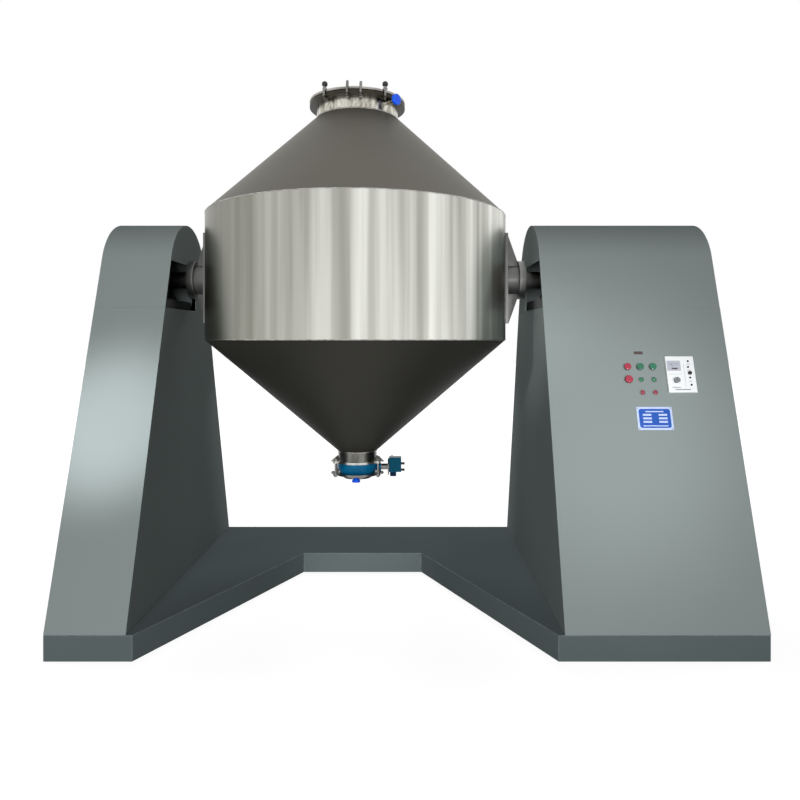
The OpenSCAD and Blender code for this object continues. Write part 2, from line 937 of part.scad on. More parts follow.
module speed_knob() {
    color(rubber)
        on_face(unit_place)
            translate([dial_at[0], dial_at[1], 0]) {
                translate([0, 0, -unit_proud / 2])
                    cylinder(h = 2 * unit_proud, r = dial_shaft_r);
                difference() {
                    translate([0, 0, unit_proud + seat_gap])
                        cylinder(h = dial_h, r = dial_r);
                    block([-over, dial_r / 2, unit_proud + dial_h - over],
                        [over, dial_r + over, unit_proud + dial_h + over]);
                }
            }
}

module nameplate() {
    color(plate_blue)
        on_face(plate_place)
            block([-plate_w / 2, -plate_h / 2, 0], [plate_w / 2, plate_h / 2, plate_t_thin]);
}

module label_plate() {
    color(label_brown)
        on_face(label_place)
            block([-label_w / 2, -label_h / 2, 0], [label_w / 2, label_h / 2, plate_t_thin]);
}

// Drum shells
module ring_z(r_out, r_in, z0, z1) {
    translate([drum_x, 0, z0])
        difference() {
            cylinder(h = z1 - z0, r = r_out);
            translate([0, 0, -over])
                cylinder(h = z1 - z0 + 2 * over, r = r_in);
        }
}

module disc_z(r, z0, z1) {
    translate([drum_x, 0, z0])
        cylinder(h = z1 - z0, r = r);
}

module cone_shell(r0, z0, r1, z1) {
    translate([drum_x, 0, 0])
        rotate_extrude()
            polygon([[r0, z0], [r1, z1], [r1 - drum_wall, z1], [r0 - drum_wall, z0]]);
}

module drum_cylinder() {
    color(steel)
        ring_z(drum_r, drum_r - drum_wall, cyl_low_z, cyl_top_z);
}

module upper_cone() {
    color(dull_steel)
        cone_shell(drum_r, cyl_top_z, feed_neck_r, feed_z);
}

module lower_cone() {
    color(dull_steel)
        cone_shell(drum_r, cyl_low_z, outlet_neck_r, outlet_z);
}

// Feed port: neck, flange, gasket and locating studs
clamp_circle_r = (feed_neck_r + feed_flange_r) / 2;
clamp_turn = 41;
clamp_angles = [-90 + clamp_turn, -90 - clamp_turn, 90 + clamp_turn, 90 - clamp_turn];
stud_turn = 8.3;
screw_r = 5;
screw_below = 8;
collar_r = 10;
collar_h = 16;
guide_r = 6;
guide_up = 26;
guide_down = 12;
guide_collar_r = 9;
vent_turn = 47;
vent_drop = 12;
vent_out = 21;
vent_stub_r = 11;
vent_stem_r = 6;
vent_r = 24;
vent_l = 18;

module at_clamp(angle) {
    translate([drum_x + clamp_circle_r * cos(angle), clamp_circle_r * sin(angle), 0])
        children();
}

// Frame of the vent's axis, radial to the feed neck
module at_vent() {
    translate([drum_x, 0, feed_flange_z - vent_drop])
        rotate([0, 0, -90 + vent_turn])
            rotate([0, 90, 0])
                children();
}

module feed_neck() {
    color(steel)
        difference() {
            union() {
                ring_z(feed_neck_r, feed_neck_r - drum_wall, feed_z, feed_flange_z);
                at_vent()
                    translate([0, 0, feed_neck_r - drum_wall / 2])
                        cylinder(h = feed_flange_r + vent_out - feed_neck_r + drum_wall / 2, r = vent_stub_r);
            }
            at_vent()
                translate([0, 0, feed_neck_r])
                    cylinder(h = feed_flange_r, r = vent_stem_r + run_gap);
        }
}

module feed_flange() {
    color(steel)
        difference() {
            ring_z(feed_flange_r, feed_neck_r - drum_wall, feed_flange_z, gasket_z);
            for (angle = clamp_angles)
                at_clamp(angle)
                    translate([0, 0, feed_flange_z - over])
                        cylinder(h = feed_flange_t + 2 * over, r = screw_r + bolt_gap);
            for (side = [-1, 1])
                at_clamp(-90 + side * stud_turn)
                    translate([0, 0, feed_flange_z - over])
                        cylinder(h = feed_flange_t + 2 * over, r = guide_r + run_gap);
        }
}

module lid_gasket() {
    color(rubber)
        ring_z(clamp_circle_r - collar_r, feed_neck_r - drum_wall, gasket_z, lid_z);
}

module guide_studs() {
    color(dull_steel)
        for (side = [-1, 1])
            at_clamp(-90 + side * stud_turn) {
                translate([0, 0, feed_flange_z - guide_down])
                    cylinder(h = lid_top_z + guide_up - feed_flange_z + guide_down, r = guide_r);
                translate([0, 0, feed_flange_z - guide_down])
                    cylinder(h = guide_down, r = guide_collar_r);
                if (side < 0)
                    translate([0, 0, lid_top_z + guide_up])
                        sphere(r = guide_r);
            }
}

// Lid with its handle, four ball-knob screws and the blue vent knob
handle_w = 150;
handle_h = 60;
handle_r = 7;

module lid() {
    color(dull_steel)
        difference() {
            disc_z(feed_flange_r, lid_z, lid_top_z);
            for (angle = clamp_angles)
                at_clamp(angle)
                    translate([0, 0, lid_z - over])
                        cylinder(h = lid_t + 2 * over, r = screw_r + run_gap);
            for (side = [-1, 1])
                at_clamp(-90 + side * stud_turn)
                    translate([0, 0, lid_z - over])
                        cylinder(h = lid_t + 2 * over, r = guide_r + bolt_gap);
        }
}

module lid_handle() {
    color(steel)
        translate([drum_x, 0, lid_top_z]) {
            for (side = [-1, 1])
                translate([side * handle_w / 2, 0, 0])
                    cylinder(h = handle_h, r = handle_r);
            translate([-handle_w / 2, 0, handle_h])
                rotate([0, 90, 0])
                    cylinder(h = handle_w, r = handle_r);
            for (side = [-1, 1])
                translate([side * handle_w / 2, 0, handle_h])
                    sphere(r = handle_r);
        }
}

// Ball knob on a collar and a plain shank through lid and flange
module ball_knob(angle) {
    at_clamp(angle) {
        translate([0, 0, feed_flange_z - screw_below])
            cylinder(h = lid_top_z + ball_knob_rise - feed_flange_z + screw_below, r = screw_r);
        translate([0, 0, lid_top_z])
            cylinder(h = collar_h, r = collar_r);
        translate([0, 0, lid_top_z + ball_knob_rise])
            sphere(r = ball_knob_r);
    }
}

module ball_knob_a() {
    color(rubber)
        ball_knob(clamp_angles[0]);
}

module ball_knob_b() {
    color(rubber)
        ball_knob(clamp_angles[1]);
}

module ball_knob_c() {
    color(rubber)
        ball_knob(clamp_angles[2]);
}

module ball_knob_d() {
    color(rubber)
        ball_knob(clamp_angles[3]);
}

module vent_knob() {
    color(knob_blue)
        at_vent() {
            translate([0, 0, feed_neck_r + seat_gap])
                cylinder(h = feed_flange_r + vent_out - feed_neck_r + vent_l / 2, r = vent_stem_r);
            translate([0, 0, feed_flange_r + vent_out + seat_gap])
                cylinder(h = vent_l, r = vent_r);
        }
}

// Trunnions: saddle plate with hub and ribs, and a flanged shaft on each side
hub_l = 48;
rib_t = 12;
rib_tip = 8;

// One trunnion for the drive side, round the drum's own axis lines
module saddle_form() {
    reach = drum_r + saddle_t;
    difference() {
        union() {
            intersection() {
                translate([0, 0, axis_z - saddle_h / 2])
                    cylinder(h = saddle_h, r = reach);
                block([0, -saddle_w / 2, axis_z - saddle_h / 2],
                    [reach, saddle_w / 2, axis_z + saddle_h / 2]);
            }
            rod_x(drum_r, reach + hub_l, hub_r);
            for (side = [-1, 1])
                translate([0, rib_t / 2, axis_z])
                    rotate([90, 0, 0])
                        linear_extrude(rib_t)
                            polygon([
                                [drum_r, 0],
                                [drum_r, side * saddle_h / 2],
                                [reach + rib_tip, side * saddle_h / 2],
                                [reach + hub_l, side * ring_r],
                                [reach + hub_l, 0]
                            ]);
        }
        translate([0, 0, axis_z - saddle_h])
            cylinder(h = 2 * saddle_h, r = drum_r + seat_gap);
    }
}

module idle_saddle() {
    color(dull_steel)
        translate([drum_x, 0, 0])
            mirror([1, 0, 0])
                saddle_form();
}

module drive_saddle() {
    color(dull_steel)
        translate([drum_x, 0, 0])
            saddle_form();
}

ring_x = drum_r + saddle_t + hub_l;
idle_shaft_end = idle_bearing_x - block_w;
drive_shaft_end = chain_x + drum_hub_l + block_w / 2;

module idle_shaft() {
    color(steel) {
        rod_x(drum_x - ring_x - ring_t, drum_x - ring_x, ring_r);
        rod_x(idle_shaft_end, drum_x - ring_x - ring_t / 2, shaft_r);
    }
}

module drive_shaft() {
    color(steel) {
        rod_x(drum_x + ring_x, drum_x + ring_x + ring_t, ring_r);
        rod_x(drum_x + ring_x + ring_t / 2, drive_shaft_end, shaft_r);
    }
}

// Outlet: neck with flange and side lugs, butterfly valve, spigot with flange
outlet_flange_r = 99;
lobe_r = 12;
lug_reach = 22;
lug_out = outlet_flange_r + lug_reach;
lug_up = 18;
lug_top_w = 5;
lug_tip = 4;
lug_t = 8;
valve_bolt_at = 105;
valve_bolt_turn = 24;
valve_bolt_r = 5;
valve_nut_r = 7.5;
valve_nut_h = 7;
seat_ring_t = 6;
spigot_r = 63;
stem_r = 8;
boss_r = 18;
boss_end = 108;
sleeve_r = 13.5;
sleeve_end = 140;
notch_r = 38;
notch_t = 5;
notches = 10;
notch_step = 10;
notch_cut_r = 2.5;
hand_x0 = sleeve_end + notch_t + seat_gap;
hand_l = 56;
hand_up = 44;
hand_down = 22;
hand_w = 44;
trigger_x = 5;
trigger_l = 28;
trigger_down = 41;
arm_t = 8;
arm_h = 30;
prong_r = 5.5;
prong_l = 16;
prong_up = 14;
prong_down = -15;
disc_t = 12;

// Four bolts, in a pair at each end of the valve's stem
module on_bolt_circle() {
    for (side = [0, 1])
        for (turn = [-valve_bolt_turn, valve_bolt_turn])
            translate([drum_x, 0, 0])
                mirror([side, 0, 0])
                    rotate([0, 0, turn])
                        translate([valve_bolt_at, 0, 0])
                            children();
}

// Flange plate: a ring with a lobe round each bolt
module flange_plate(bore_r, z) {
    ring_z(outlet_flange_r, bore_r, z, z + outlet_flange_t);
    on_bolt_circle()
        translate([0, 0, z])
            cylinder(h = outlet_flange_t, r = lobe_r);
}

module flange_holes(z) {
    on_bolt_circle()
        translate([0, 0, z - over])
            cylinder(h = outlet_flange_t + 2 * over, r = valve_bolt_r + bolt_gap);
}

module outlet_neck() {
    color(steel)
        difference() {
            union() {
                ring_z(outlet_neck_r, outlet_neck_r - drum_wall, outlet_flange_z, outlet_z);
                flange_plate(outlet_neck_r - drum_wall, valve_top_z);
                for (side = [0, 1])
                    translate([drum_x, lug_t / 2, 0])
                        mirror([side, 0, 0])
                            rotate([90, 0, 0])
                                linear_extrude(lug_t)
                                    polygon([
                                        [outlet_neck_r - drum_wall / 2, outlet_flange_z + lug_up],
                                        [outlet_neck_r + lug_top_w, outlet_flange_z + lug_up],
                                        [lug_out, valve_top_z + lug_tip],
                                        [lug_out, valve_top_z],
                                        [outlet_neck_r - drum_wall / 2, valve_top_z]
                                    ]);
            }
            flange_holes(valve_top_z);
        }
}

module valve_body() {
    color(valve_blue)
        difference() {
            union() {
                ring_z(valve_r, valve_disc_r + seat_ring_t + run_gap, valve_low_z, valve_top_z);
                rod_x(drum_x + valve_r - seat_ring_t, drum_x + boss_end, boss_r, z = valve_z);
            }
            rod_x(drum_x - valve_r + seat_ring_t, drum_x + boss_end + over, stem_r + run_gap, z = valve_z);
        }
}

module valve_seat() {
    color(rubber)
        difference() {
            ring_z(valve_disc_r + seat_ring_t, valve_disc_r + seat_gap, valve_low_z, valve_top_z);
            rod_x(drum_x - valve_r, drum_x + valve_r, stem_r + run_gap, z = valve_z);
        }
}

module notch_plate() {
    color(dull_steel)
        difference() {
            union() {
                rod_x(drum_x + boss_end, drum_x + sleeve_end + notch_t, sleeve_r, z = valve_z);
                rod_x(drum_x + sleeve_end, drum_x + sleeve_end + notch_t, notch_r, z = valve_z);
            }
            rod_x(drum_x + boss_end - over, drum_x + sleeve_end + notch_t + over, stem_r + run_gap,
                z = valve_z);
            for (k = [0:notches - 1])
                let (at = on_circle(notch_r, k * notch_step - 90, valve_z))
                    rod_x(drum_x + sleeve_end - over, drum_x + sleeve_end + notch_t + over, notch_cut_r,
                        at[0], at[1]);
        }
}

module spigot_flange() {
    color(steel)
        difference() {
            union() {
                flange_plate(spigot_r - drum_wall, spigot_top_z);
                ring_z(spigot_r, spigot_r - drum_wall, spigot_top_z - spigot_h, spigot_top_z);
            }
            flange_holes(spigot_top_z);
            translate([drum_x, -low_knob_at, spigot_top_z - over])
                cylinder(h = outlet_flange_t + 2 * over, r = valve_bolt_r + run_gap);
        }
}

module valve_bolts() {
    color(steel)
        on_bolt_circle() {
            translate([0, 0, spigot_top_z - valve_nut_h])
                cylinder(h = outlet_flange_z - spigot_top_z + 2 * valve_nut_h, r = valve_bolt_r);
            translate([0, 0, spigot_top_z - valve_nut_h])
                cylinder(h = valve_nut_h, r = valve_nut_r, $fn = hex_sides);
            translate([0, 0, outlet_flange_z])
                cylinder(h = valve_nut_h, r = valve_nut_r, $fn = hex_sides);
        }
}

// Ball-ended studs on both sides of the lower flange, where a bag ties on
bag_stud_r = 4;
bag_ball_r = 7.5;
bag_stud_l = 14;

module bag_studs() {
    color(dull_steel)
        for (side = [0, 1])
            translate([drum_x, 0, spigot_top_z + outlet_flange_t / 2])
                mirror([side, 0, 0])
                    translate([outlet_flange_r, 0, 0])
                        rotate([0, 90, 0]) {
                            cylinder(h = bag_stud_l, r = bag_stud_r);
                            translate([0, 0, bag_stud_l])
                                sphere(r = bag_ball_r);
                        }
}

module valve_disc() {
    color(steel) {
        intersection() {
            disc_z(valve_disc_r, valve_z - disc_t / 2, valve_z + disc_t / 2);
            translate([drum_x, 0, valve_z])
                sphere(r = valve_disc_r);
        }
        rod_x(drum_x - valve_r + 2 * seat_ring_t, drum_x + hand_x0 + hand_l / 2, stem_r, z = valve_z);
    }
}

module valve_lever() {
    x0 = drum_x + hand_x0;
    color(valve_blue)
        difference() {
            union() {
                block([x0, -hand_w / 2, valve_z - hand_down], [x0 + hand_l, hand_w / 2, valve_z + hand_up]);
                block([x0 + trigger_x, -hand_w / 2, valve_z - trigger_down],
                    [x0 + trigger_x + trigger_l, hand_w / 2, valve_z]);
                block([x0 + trigger_x, hand_w / 4, valve_z - arm_h / 2],
                    [x0 + trigger_x + arm_t, lever_len, valve_z + arm_h / 2]);
                for (up = [prong_up, prong_down])
                    rod_x(x0 + hand_l / 2, x0 + hand_l + prong_l, prong_r, z = valve_z + up);
            }
            rod_x(x0 - over, x0 + hand_l / 2 + over, stem_r + run_gap, z = valve_z);
        }
}

// Domed blue knob under the front of the lower flange
low_knob_r = 19;
low_knob_gap = 2;
low_knob_clear = 3;
low_knob_at = spigot_r + low_knob_r + low_knob_clear;

module outlet_knob() {
    color(knob_blue)
        translate([drum_x, -low_knob_at, spigot_top_z - low_knob_gap - low_knob_r]) {
            intersection() {
                sphere(r = low_knob_r);
                cylinder(h = low_knob_r + over, r = low_knob_r + over);
            }
            cylinder(h = low_knob_r + low_knob_gap + outlet_flange_t - seat_gap, r = valve_bolt_r);
        }
}

plinth();
idle_casing();
idle_cover();
idle_frame();
idle_bearing();
idle_bush();
drive_casing();
drive_cover();
drive_frame();
drive_bearing();
drive_bush();
bearing_bolts();
motor_stool();
gearbox();
motor();
motor_bolts();
roller_chain();
bezels();
green_lenses();
red_lenses();
control_unit();
unit_window();
unit_caps();
nameplate();
label_plate();
drum_cylinder();
upper_cone();
lower_cone();
feed_neck();
feed_flange();
lid_gasket();
guide_studs();
idle_saddle();
drive_saddle();
idle_shaft();
drive_shaft();
drum_sprocket();
outlet_neck();
valve_body();
valve_seat();
notch_plate();
spigot_flange();
valve_bolts();
bag_studs();
motor_sprocket();
lid();
lid_handle();
ball_knob_a();
ball_knob_b();
ball_knob_c();
ball_knob_d();
vent_knob();
valve_disc();
valve_lever();
outlet_knob();
red_button();
green_button_a();
green_button_b();
stop_button();
speed_knob();
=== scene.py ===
# %% [markdown]
# Double cone mixer: finishes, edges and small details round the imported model.
#
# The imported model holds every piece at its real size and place. What it lacks is what makes
# sheet metal look like sheet metal: folded edges that catch the light, weld beads, polish
# marks, paint with a slight orange peel, and the printed faces of the control unit.
# Everything here is in metres, with the machine standing on Z = 0 and its front facing -Y.

import json
from math import atan2, copysign, cos, radians, sin, sqrt, tau

import bmesh
import bpy
from mathutils import Matrix, Vector


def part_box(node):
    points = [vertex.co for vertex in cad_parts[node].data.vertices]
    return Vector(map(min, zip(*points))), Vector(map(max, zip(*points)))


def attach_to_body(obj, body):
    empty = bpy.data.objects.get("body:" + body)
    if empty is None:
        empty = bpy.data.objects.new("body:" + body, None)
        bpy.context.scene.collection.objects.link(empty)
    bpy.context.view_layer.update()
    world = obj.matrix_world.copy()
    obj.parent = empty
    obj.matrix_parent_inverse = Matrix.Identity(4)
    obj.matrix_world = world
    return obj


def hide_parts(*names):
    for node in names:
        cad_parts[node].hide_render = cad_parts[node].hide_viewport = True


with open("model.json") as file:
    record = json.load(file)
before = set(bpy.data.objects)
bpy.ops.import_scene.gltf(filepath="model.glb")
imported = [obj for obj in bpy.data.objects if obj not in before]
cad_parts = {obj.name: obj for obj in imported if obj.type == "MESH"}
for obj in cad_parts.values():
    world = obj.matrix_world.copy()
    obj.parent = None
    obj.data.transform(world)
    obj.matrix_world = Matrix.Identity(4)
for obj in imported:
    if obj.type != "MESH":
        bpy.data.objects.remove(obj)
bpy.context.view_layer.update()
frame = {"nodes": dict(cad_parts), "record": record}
NODES = frame["nodes"]
BODY_OF = {node: body for body, nodes in frame["record"]["behaviour"]["bodies"].items() for node in nodes}

# %% [markdown]
# The main places come from the frame, so that nothing here has to be typed twice. The drum
# turns on a level axis, and its upright centre line passes through the middle of the cylinder.

# %% Places read from the frame
MM = 0.001


def middle(node):
    low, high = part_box(node)
    return (low + high) / 2


def size(node):
    low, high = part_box(node)
    return high - low


DRUM_LOW, DRUM_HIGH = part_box("drum_cylinder")
DRUM_X = middle("drum_cylinder").x
DRUM_R = size("drum_cylinder").x / 2
AXIS_Z = middle("drum_cylinder").z
WALL = 4 * MM
print("drum radius", round(DRUM_R, 3), "axis height", round(AXIS_Z, 3))

# %% [markdown]
# The photograph was taken level, about 3.1 m in front of the drum's axis and 1.15 m up, with
# the horizon above the middle of the picture. A small shift of the lens gives that framing
# without tilting the camera, so upright edges stay upright.

# %% Camera
CAMERA_AT = (0, -3.125, 1.1494)
FOCAL_PX = 678
FRAME_PX = 800
AXIS_PX = (407, 340)

camera_data = bpy.data.cameras.new("camera")
camera_data.sensor_width = 36
camera_data.lens = camera_data.sensor_width * FOCAL_PX / FRAME_PX
camera_data.shift_x = (FRAME_PX / 2 - AXIS_PX[0]) / FRAME_PX
camera_data.shift_y = (AXIS_PX[1] - FRAME_PX / 2) / FRAME_PX
camera = bpy.data.objects.new("camera", camera_data)
camera.location = CAMERA_AT
camera.rotation_euler = (radians(90), 0, 0)
bpy.context.scene.collection.objects.link(camera)
bpy.context.scene.camera = camera
print("lens", round(camera_data.lens, 1), "mm")

# %% [markdown]
# A finish is a Principled shader with something behind its inputs. The nodes could be written
# out for each material, but the same few steps come back in all of them. So short helpers add
# a node, join two nodes, mix two colours, and start a material or a shared effect.

# %% Helpers for node trees
# The sockets of a Mix node that hold its colours share their names with others, so these go by number
MIX_A, MIX_B, MIX_RESULT = 6, 7, 2


def add(tree, kind, inputs=None, **settings):
    node = tree.nodes.new(kind)
    for name, value in settings.items():
        setattr(node, name, value)
    for name, value in (inputs or {}).items():
        node.inputs[name].default_value = value
    return node


def wire(tree, out_node, out_name, in_node, in_name):
    tree.links.new(out_node.outputs[out_name], in_node.inputs[in_name])


def mix_colors(tree, factor, first, second):
    """Mixes two colours, each a socket or a plain colour, and returns the result's socket."""
    mix = add(tree, "ShaderNodeMix", data_type="RGBA")
    tree.links.new(factor, mix.inputs["Factor"])
    for place, color in ((MIX_A, first), (MIX_B, second)):
        if isinstance(color, tuple):
            mix.inputs[place].default_value = color
        else:
            tree.links.new(color, mix.inputs[place])
    return mix.outputs[MIX_RESULT]


def start_material(name, **constants):
    material = bpy.data.materials.new(name)
    material.use_nodes = True
    tree = material.node_tree
    shader = tree.nodes["Principled BSDF"]
    for socket, value in constants.items():
        shader.inputs[socket.replace("_", " ")].default_value = value
    return material, tree, shader


def start_group(name, inputs, outputs):
    group = bpy.data.node_groups.new(name, "ShaderNodeTree")
    for socket, kind, value in inputs:
        made = group.interface.new_socket(name=socket, in_out="INPUT", socket_type=kind)
        made.default_value = value
    for socket, kind in outputs:
        group.interface.new_socket(name=socket, in_out="OUTPUT", socket_type=kind)
    return group, group.nodes.new("NodeGroupInput"), group.nodes.new("NodeGroupOutput")


FLOAT, COLOR = "NodeSocketFloat", "NodeSocketColor"
GREY_A, GREY_B = (0.5, 0.5, 0.5, 1), (0.6, 0.6, 0.6, 1)
print("helpers ready")

# %% [markdown]
# Real surfaces are never one even colour. The first shared effect mixes two colours by a slow
# noise, the second gives the fine height of sprayed paint or blasted steel, and the third
# marks the edges that wear first. Wear could be found from the angle between faces, but the
# edge rounding below knows its own faces. It writes the edge mark on them, so the wear follows
# the shape exactly. Noise keeps near its middle, so the blotches and the wear spread it over
# the full range.

# %% Shared effect: slow colour blotches
def make_blotches():
    group, start, end = start_group(
        "slow_blotches",
        [("Scale", FLOAT, 3.0), ("Color A", COLOR, GREY_A), ("Color B", COLOR, GREY_B)],
        [("Color", COLOR), ("Mask", FLOAT)],
    )
    place = add(group, "ShaderNodeTexCoord")
    noise = add(group, "ShaderNodeTexNoise", {"Detail": 4.0, "Roughness": 0.55})
    spread = add(group, "ShaderNodeMapRange", {"From Min": 0.35, "From Max": 0.65})
    wire(group, place, "Object", noise, "Vector")
    wire(group, start, "Scale", noise, "Scale")
    wire(group, noise, "Fac", spread, "Value")
    mask, first, second = spread.outputs["Result"], start.outputs["Color A"], start.outputs["Color B"]
    group.links.new(mix_colors(group, mask, first, second), end.inputs["Color"])
    wire(group, spread, "Result", end, "Mask")
    return group


BLOTCHES = make_blotches()
print("group", BLOTCHES.name)

# %% Shared effect: fine surface height
def make_grain():
    group, start, end = start_group(
        "fine_grain",
        [("Scale", FLOAT, 300.0)] + [("Stretch " + axis, FLOAT, 1.0) for axis in "XYZ"],
        [("Height", FLOAT)],
    )
    place = add(group, "ShaderNodeTexCoord")
    stretch = add(group, "ShaderNodeCombineXYZ")
    scaled = add(group, "ShaderNodeVectorMath", operation="MULTIPLY")
    noise = add(group, "ShaderNodeTexNoise", {"Detail": 3.0, "Roughness": 0.6})
    for axis in "XYZ":
        wire(group, start, "Stretch " + axis, stretch, axis)
    group.links.new(place.outputs["Object"], scaled.inputs[0])
    group.links.new(stretch.outputs["Vector"], scaled.inputs[1])
    wire(group, scaled, "Vector", noise, "Vector")
    wire(group, start, "Scale", noise, "Scale")
    wire(group, noise, "Fac", end, "Height")
    return group


GRAIN = make_grain()
print("group", GRAIN.name)

# %% Shared effect: edge wear from the rounded edges' own mark
def make_edge_wear():
    group, start, end = start_group(
        "edge_wear",
        [("Color", COLOR, GREY_A), ("Worn Color", COLOR, GREY_B), ("Amount", FLOAT, 0.5)],
        [("Color", COLOR), ("Mask", FLOAT)],
    )
    mark = add(group, "ShaderNodeAttribute", attribute_name="edge_mark")
    place = add(group, "ShaderNodeTexCoord")
    noise = add(group, "ShaderNodeTexNoise", {"Scale": 35.0, "Detail": 5.0, "Roughness": 0.7})
    patchy = add(group, "ShaderNodeMapRange", {"From Min": 0.35, "From Max": 0.6})
    both = add(group, "ShaderNodeMath", operation="MULTIPLY")
    scaled = add(group, "ShaderNodeMath", operation="MULTIPLY", use_clamp=True)
    wire(group, place, "Object", noise, "Vector")
    wire(group, noise, "Fac", patchy, "Value")
    group.links.new(mark.outputs["Fac"], both.inputs[0])
    group.links.new(patchy.outputs["Result"], both.inputs[1])
    group.links.new(both.outputs["Value"], scaled.inputs[0])
    group.links.new(start.outputs["Amount"], scaled.inputs[1])
    mask, plain, worn = scaled.outputs["Value"], start.outputs["Color"], start.outputs["Worn Color"]
    group.links.new(mix_colors(group, mask, plain, worn), end.inputs["Color"])
    wire(group, scaled, "Value", end, "Mask")
    return group


EDGE_WEAR = make_edge_wear()
print("group", EDGE_WEAR.name)

# %% [markdown]
# The polished band of the drum shows broad upright bands, pale and grey in turn. They are partly
# real, because the rolled sheet is never perfectly round and its polish marks run round it, and
# partly painted reflections of the room. A wave by the angle would repeat and leave a seam.
# Noise that hardly changes along Z gives such bands with none, because it is read in space.

# %% Shared effect: upright bands round the drum
def make_bands():
    group, start, end = start_group(
        "upright_bands",
        [("Scale", FLOAT, 9.0), ("Softness", FLOAT, 0.12), ("Rise", FLOAT, 0.03)],
        [("Mask", FLOAT)],
    )
    place = add(group, "ShaderNodeTexCoord")
    stretch = add(group, "ShaderNodeCombineXYZ", {"X": 1.0, "Y": 1.0})
    scaled = add(group, "ShaderNodeVectorMath", operation="MULTIPLY")
    noise = add(group, "ShaderNodeTexNoise", {"Detail": 2.0, "Roughness": 0.45})
    low = add(group, "ShaderNodeMath", {0: 0.5}, operation="SUBTRACT")
    high = add(group, "ShaderNodeMath", {0: 0.5}, operation="ADD")
    spread = add(group, "ShaderNodeMapRange", interpolation_type="SMOOTHSTEP")
    wire(group, start, "Rise", stretch, "Z")
    group.links.new(place.outputs["Object"], scaled.inputs[0])
    group.links.new(stretch.outputs["Vector"], scaled.inputs[1])
    wire(group, scaled, "Vector", noise, "Vector")
    wire(group, start, "Scale", noise, "Scale")
    group.links.new(start.outputs["Softness"], low.inputs[1])
    group.links.new(start.outputs["Softness"], high.inputs[1])
    wire(group, noise, "Fac", spread, "Value")
    wire(group, low, "Value", spread, "From Min")
    wire(group, high, "Value", spread, "From Max")
    wire(group, spread, "Result", end, "Mask")
    return group


BANDS = make_bands()
print("group", BANDS.name)

# %% [markdown]
# Sprayed two-pack paint on sheet steel is satin: an even colour with faint clouds, a slight
# orange peel, and edges rubbed a little paler. Each paint could have its own nodes, but the
# stands, the plinth, the castings and the valve differ only in colour, gloss and wear, so one
# function makes them all. The stands and the plinth have no gloss of their own: flat sheet
# seen at a low angle would mirror the white room.

# %% Paint finishes
PEEL_DEPTH = 0.4 * MM


def place_group(tree, group, **inputs):
    node = tree.nodes.new("ShaderNodeGroup")
    node.node_tree = group
    for name, value in inputs.items():
        node.inputs[name.replace("_", " ")].default_value = value
    return node


def shade(color, factor):
    return tuple(min(1.0, part * factor) for part in color) + (1,)


def finish_surface(tree, shader, mask, grain, gloss_range, strength, depth):
    """Roughness from a mask's socket, within a range, and a bump from the grain."""
    gloss = add(tree, "ShaderNodeMapRange", {"To Min": gloss_range[0], "To Max": gloss_range[1]})
    bump = add(tree, "ShaderNodeBump", {"Strength": strength, "Distance": depth})
    tree.links.new(mask, gloss.inputs["Value"])
    wire(tree, gloss, "Result", shader, "Roughness")
    wire(tree, grain, "Height", bump, "Height")
    wire(tree, bump, "Normal", shader, "Normal")


def make_paint(name, color, roughness, cloud=0.06, peel=0.08, worn=1.5, wear=0.5, coat=0.0, scale=260.0,
               specular=0.5, metal=0.0, patches=2.2):
    """cloud, worn: change of tone in the clouds and at the edges; scale, patches: noise scales."""
    material, tree, shader = start_material(
        name, Coat_Weight=coat, Coat_Roughness=0.12, Specular_IOR_Level=specular, Metallic=metal,
    )
    clouds = place_group(
        tree, BLOTCHES, Scale=patches, Color_A=shade(color, 1 - cloud), Color_B=shade(color, 1 + cloud),
    )
    edges = place_group(tree, EDGE_WEAR, Worn_Color=shade(color, worn), Amount=wear)
    grain = place_group(tree, GRAIN, Scale=scale)
    wire(tree, clouds, "Color", edges, "Color")
    wire(tree, edges, "Color", shader, "Base Color")
    gloss_range = (roughness - 0.05, roughness + 0.07)
    finish_surface(tree, shader, clouds.outputs["Mask"], grain, gloss_range, peel, PEEL_DEPTH)
    return material


STAND_GREY = (0.192, 0.222, 0.219)
PLINTH_GREY = (0.086, 0.106, 0.108)
FRAME_GREY = (0.075, 0.080, 0.082)
DRIVE_BLUE = (0.035, 0.090, 0.170)
VALVE_BLUE = (0.0015, 0.100, 0.215)
LEVER_BLUE = (0.001, 0.050, 0.088)
NAVY = (0.003, 0.014, 0.045)
CASTING_GREY = (0.040, 0.041, 0.043)

stand_paint = make_paint(
    "stand_paint", STAND_GREY, 0.40, cloud=0.02, peel=0.06, worn=1.3, wear=0.6, specular=0.0, metal=0.01,
    patches=0.9,
)
plinth_paint = make_paint(
    "plinth_paint", PLINTH_GREY, 0.45, cloud=0.04, worn=1.6, wear=0.8, specular=0.0, metal=0.01, patches=1.5,
)
frame_paint = make_paint("frame_paint", FRAME_GREY, 0.55, cloud=0.15, specular=0.2)
casting_paint = make_paint(
    "casting_paint", CASTING_GREY, 0.50, cloud=0.12, peel=0.35, scale=420.0, specular=0.3,
)
drive_paint = make_paint("drive_paint", DRIVE_BLUE, 0.35, coat=0.3)
valve_paint = make_paint(
    "valve_paint", VALVE_BLUE, 0.22, cloud=0.35, worn=1.8, wear=0.9, specular=0.15, patches=14.0,
)
lever_paint = make_paint(
    "lever_paint", LEVER_BLUE, 0.26, cloud=0.20, worn=1.6, wear=0.7, specular=0.1, patches=9.0,
)
navy_paint = make_paint("navy_paint", NAVY, 0.28, cloud=0.15, specular=0.05)
print("paints made")
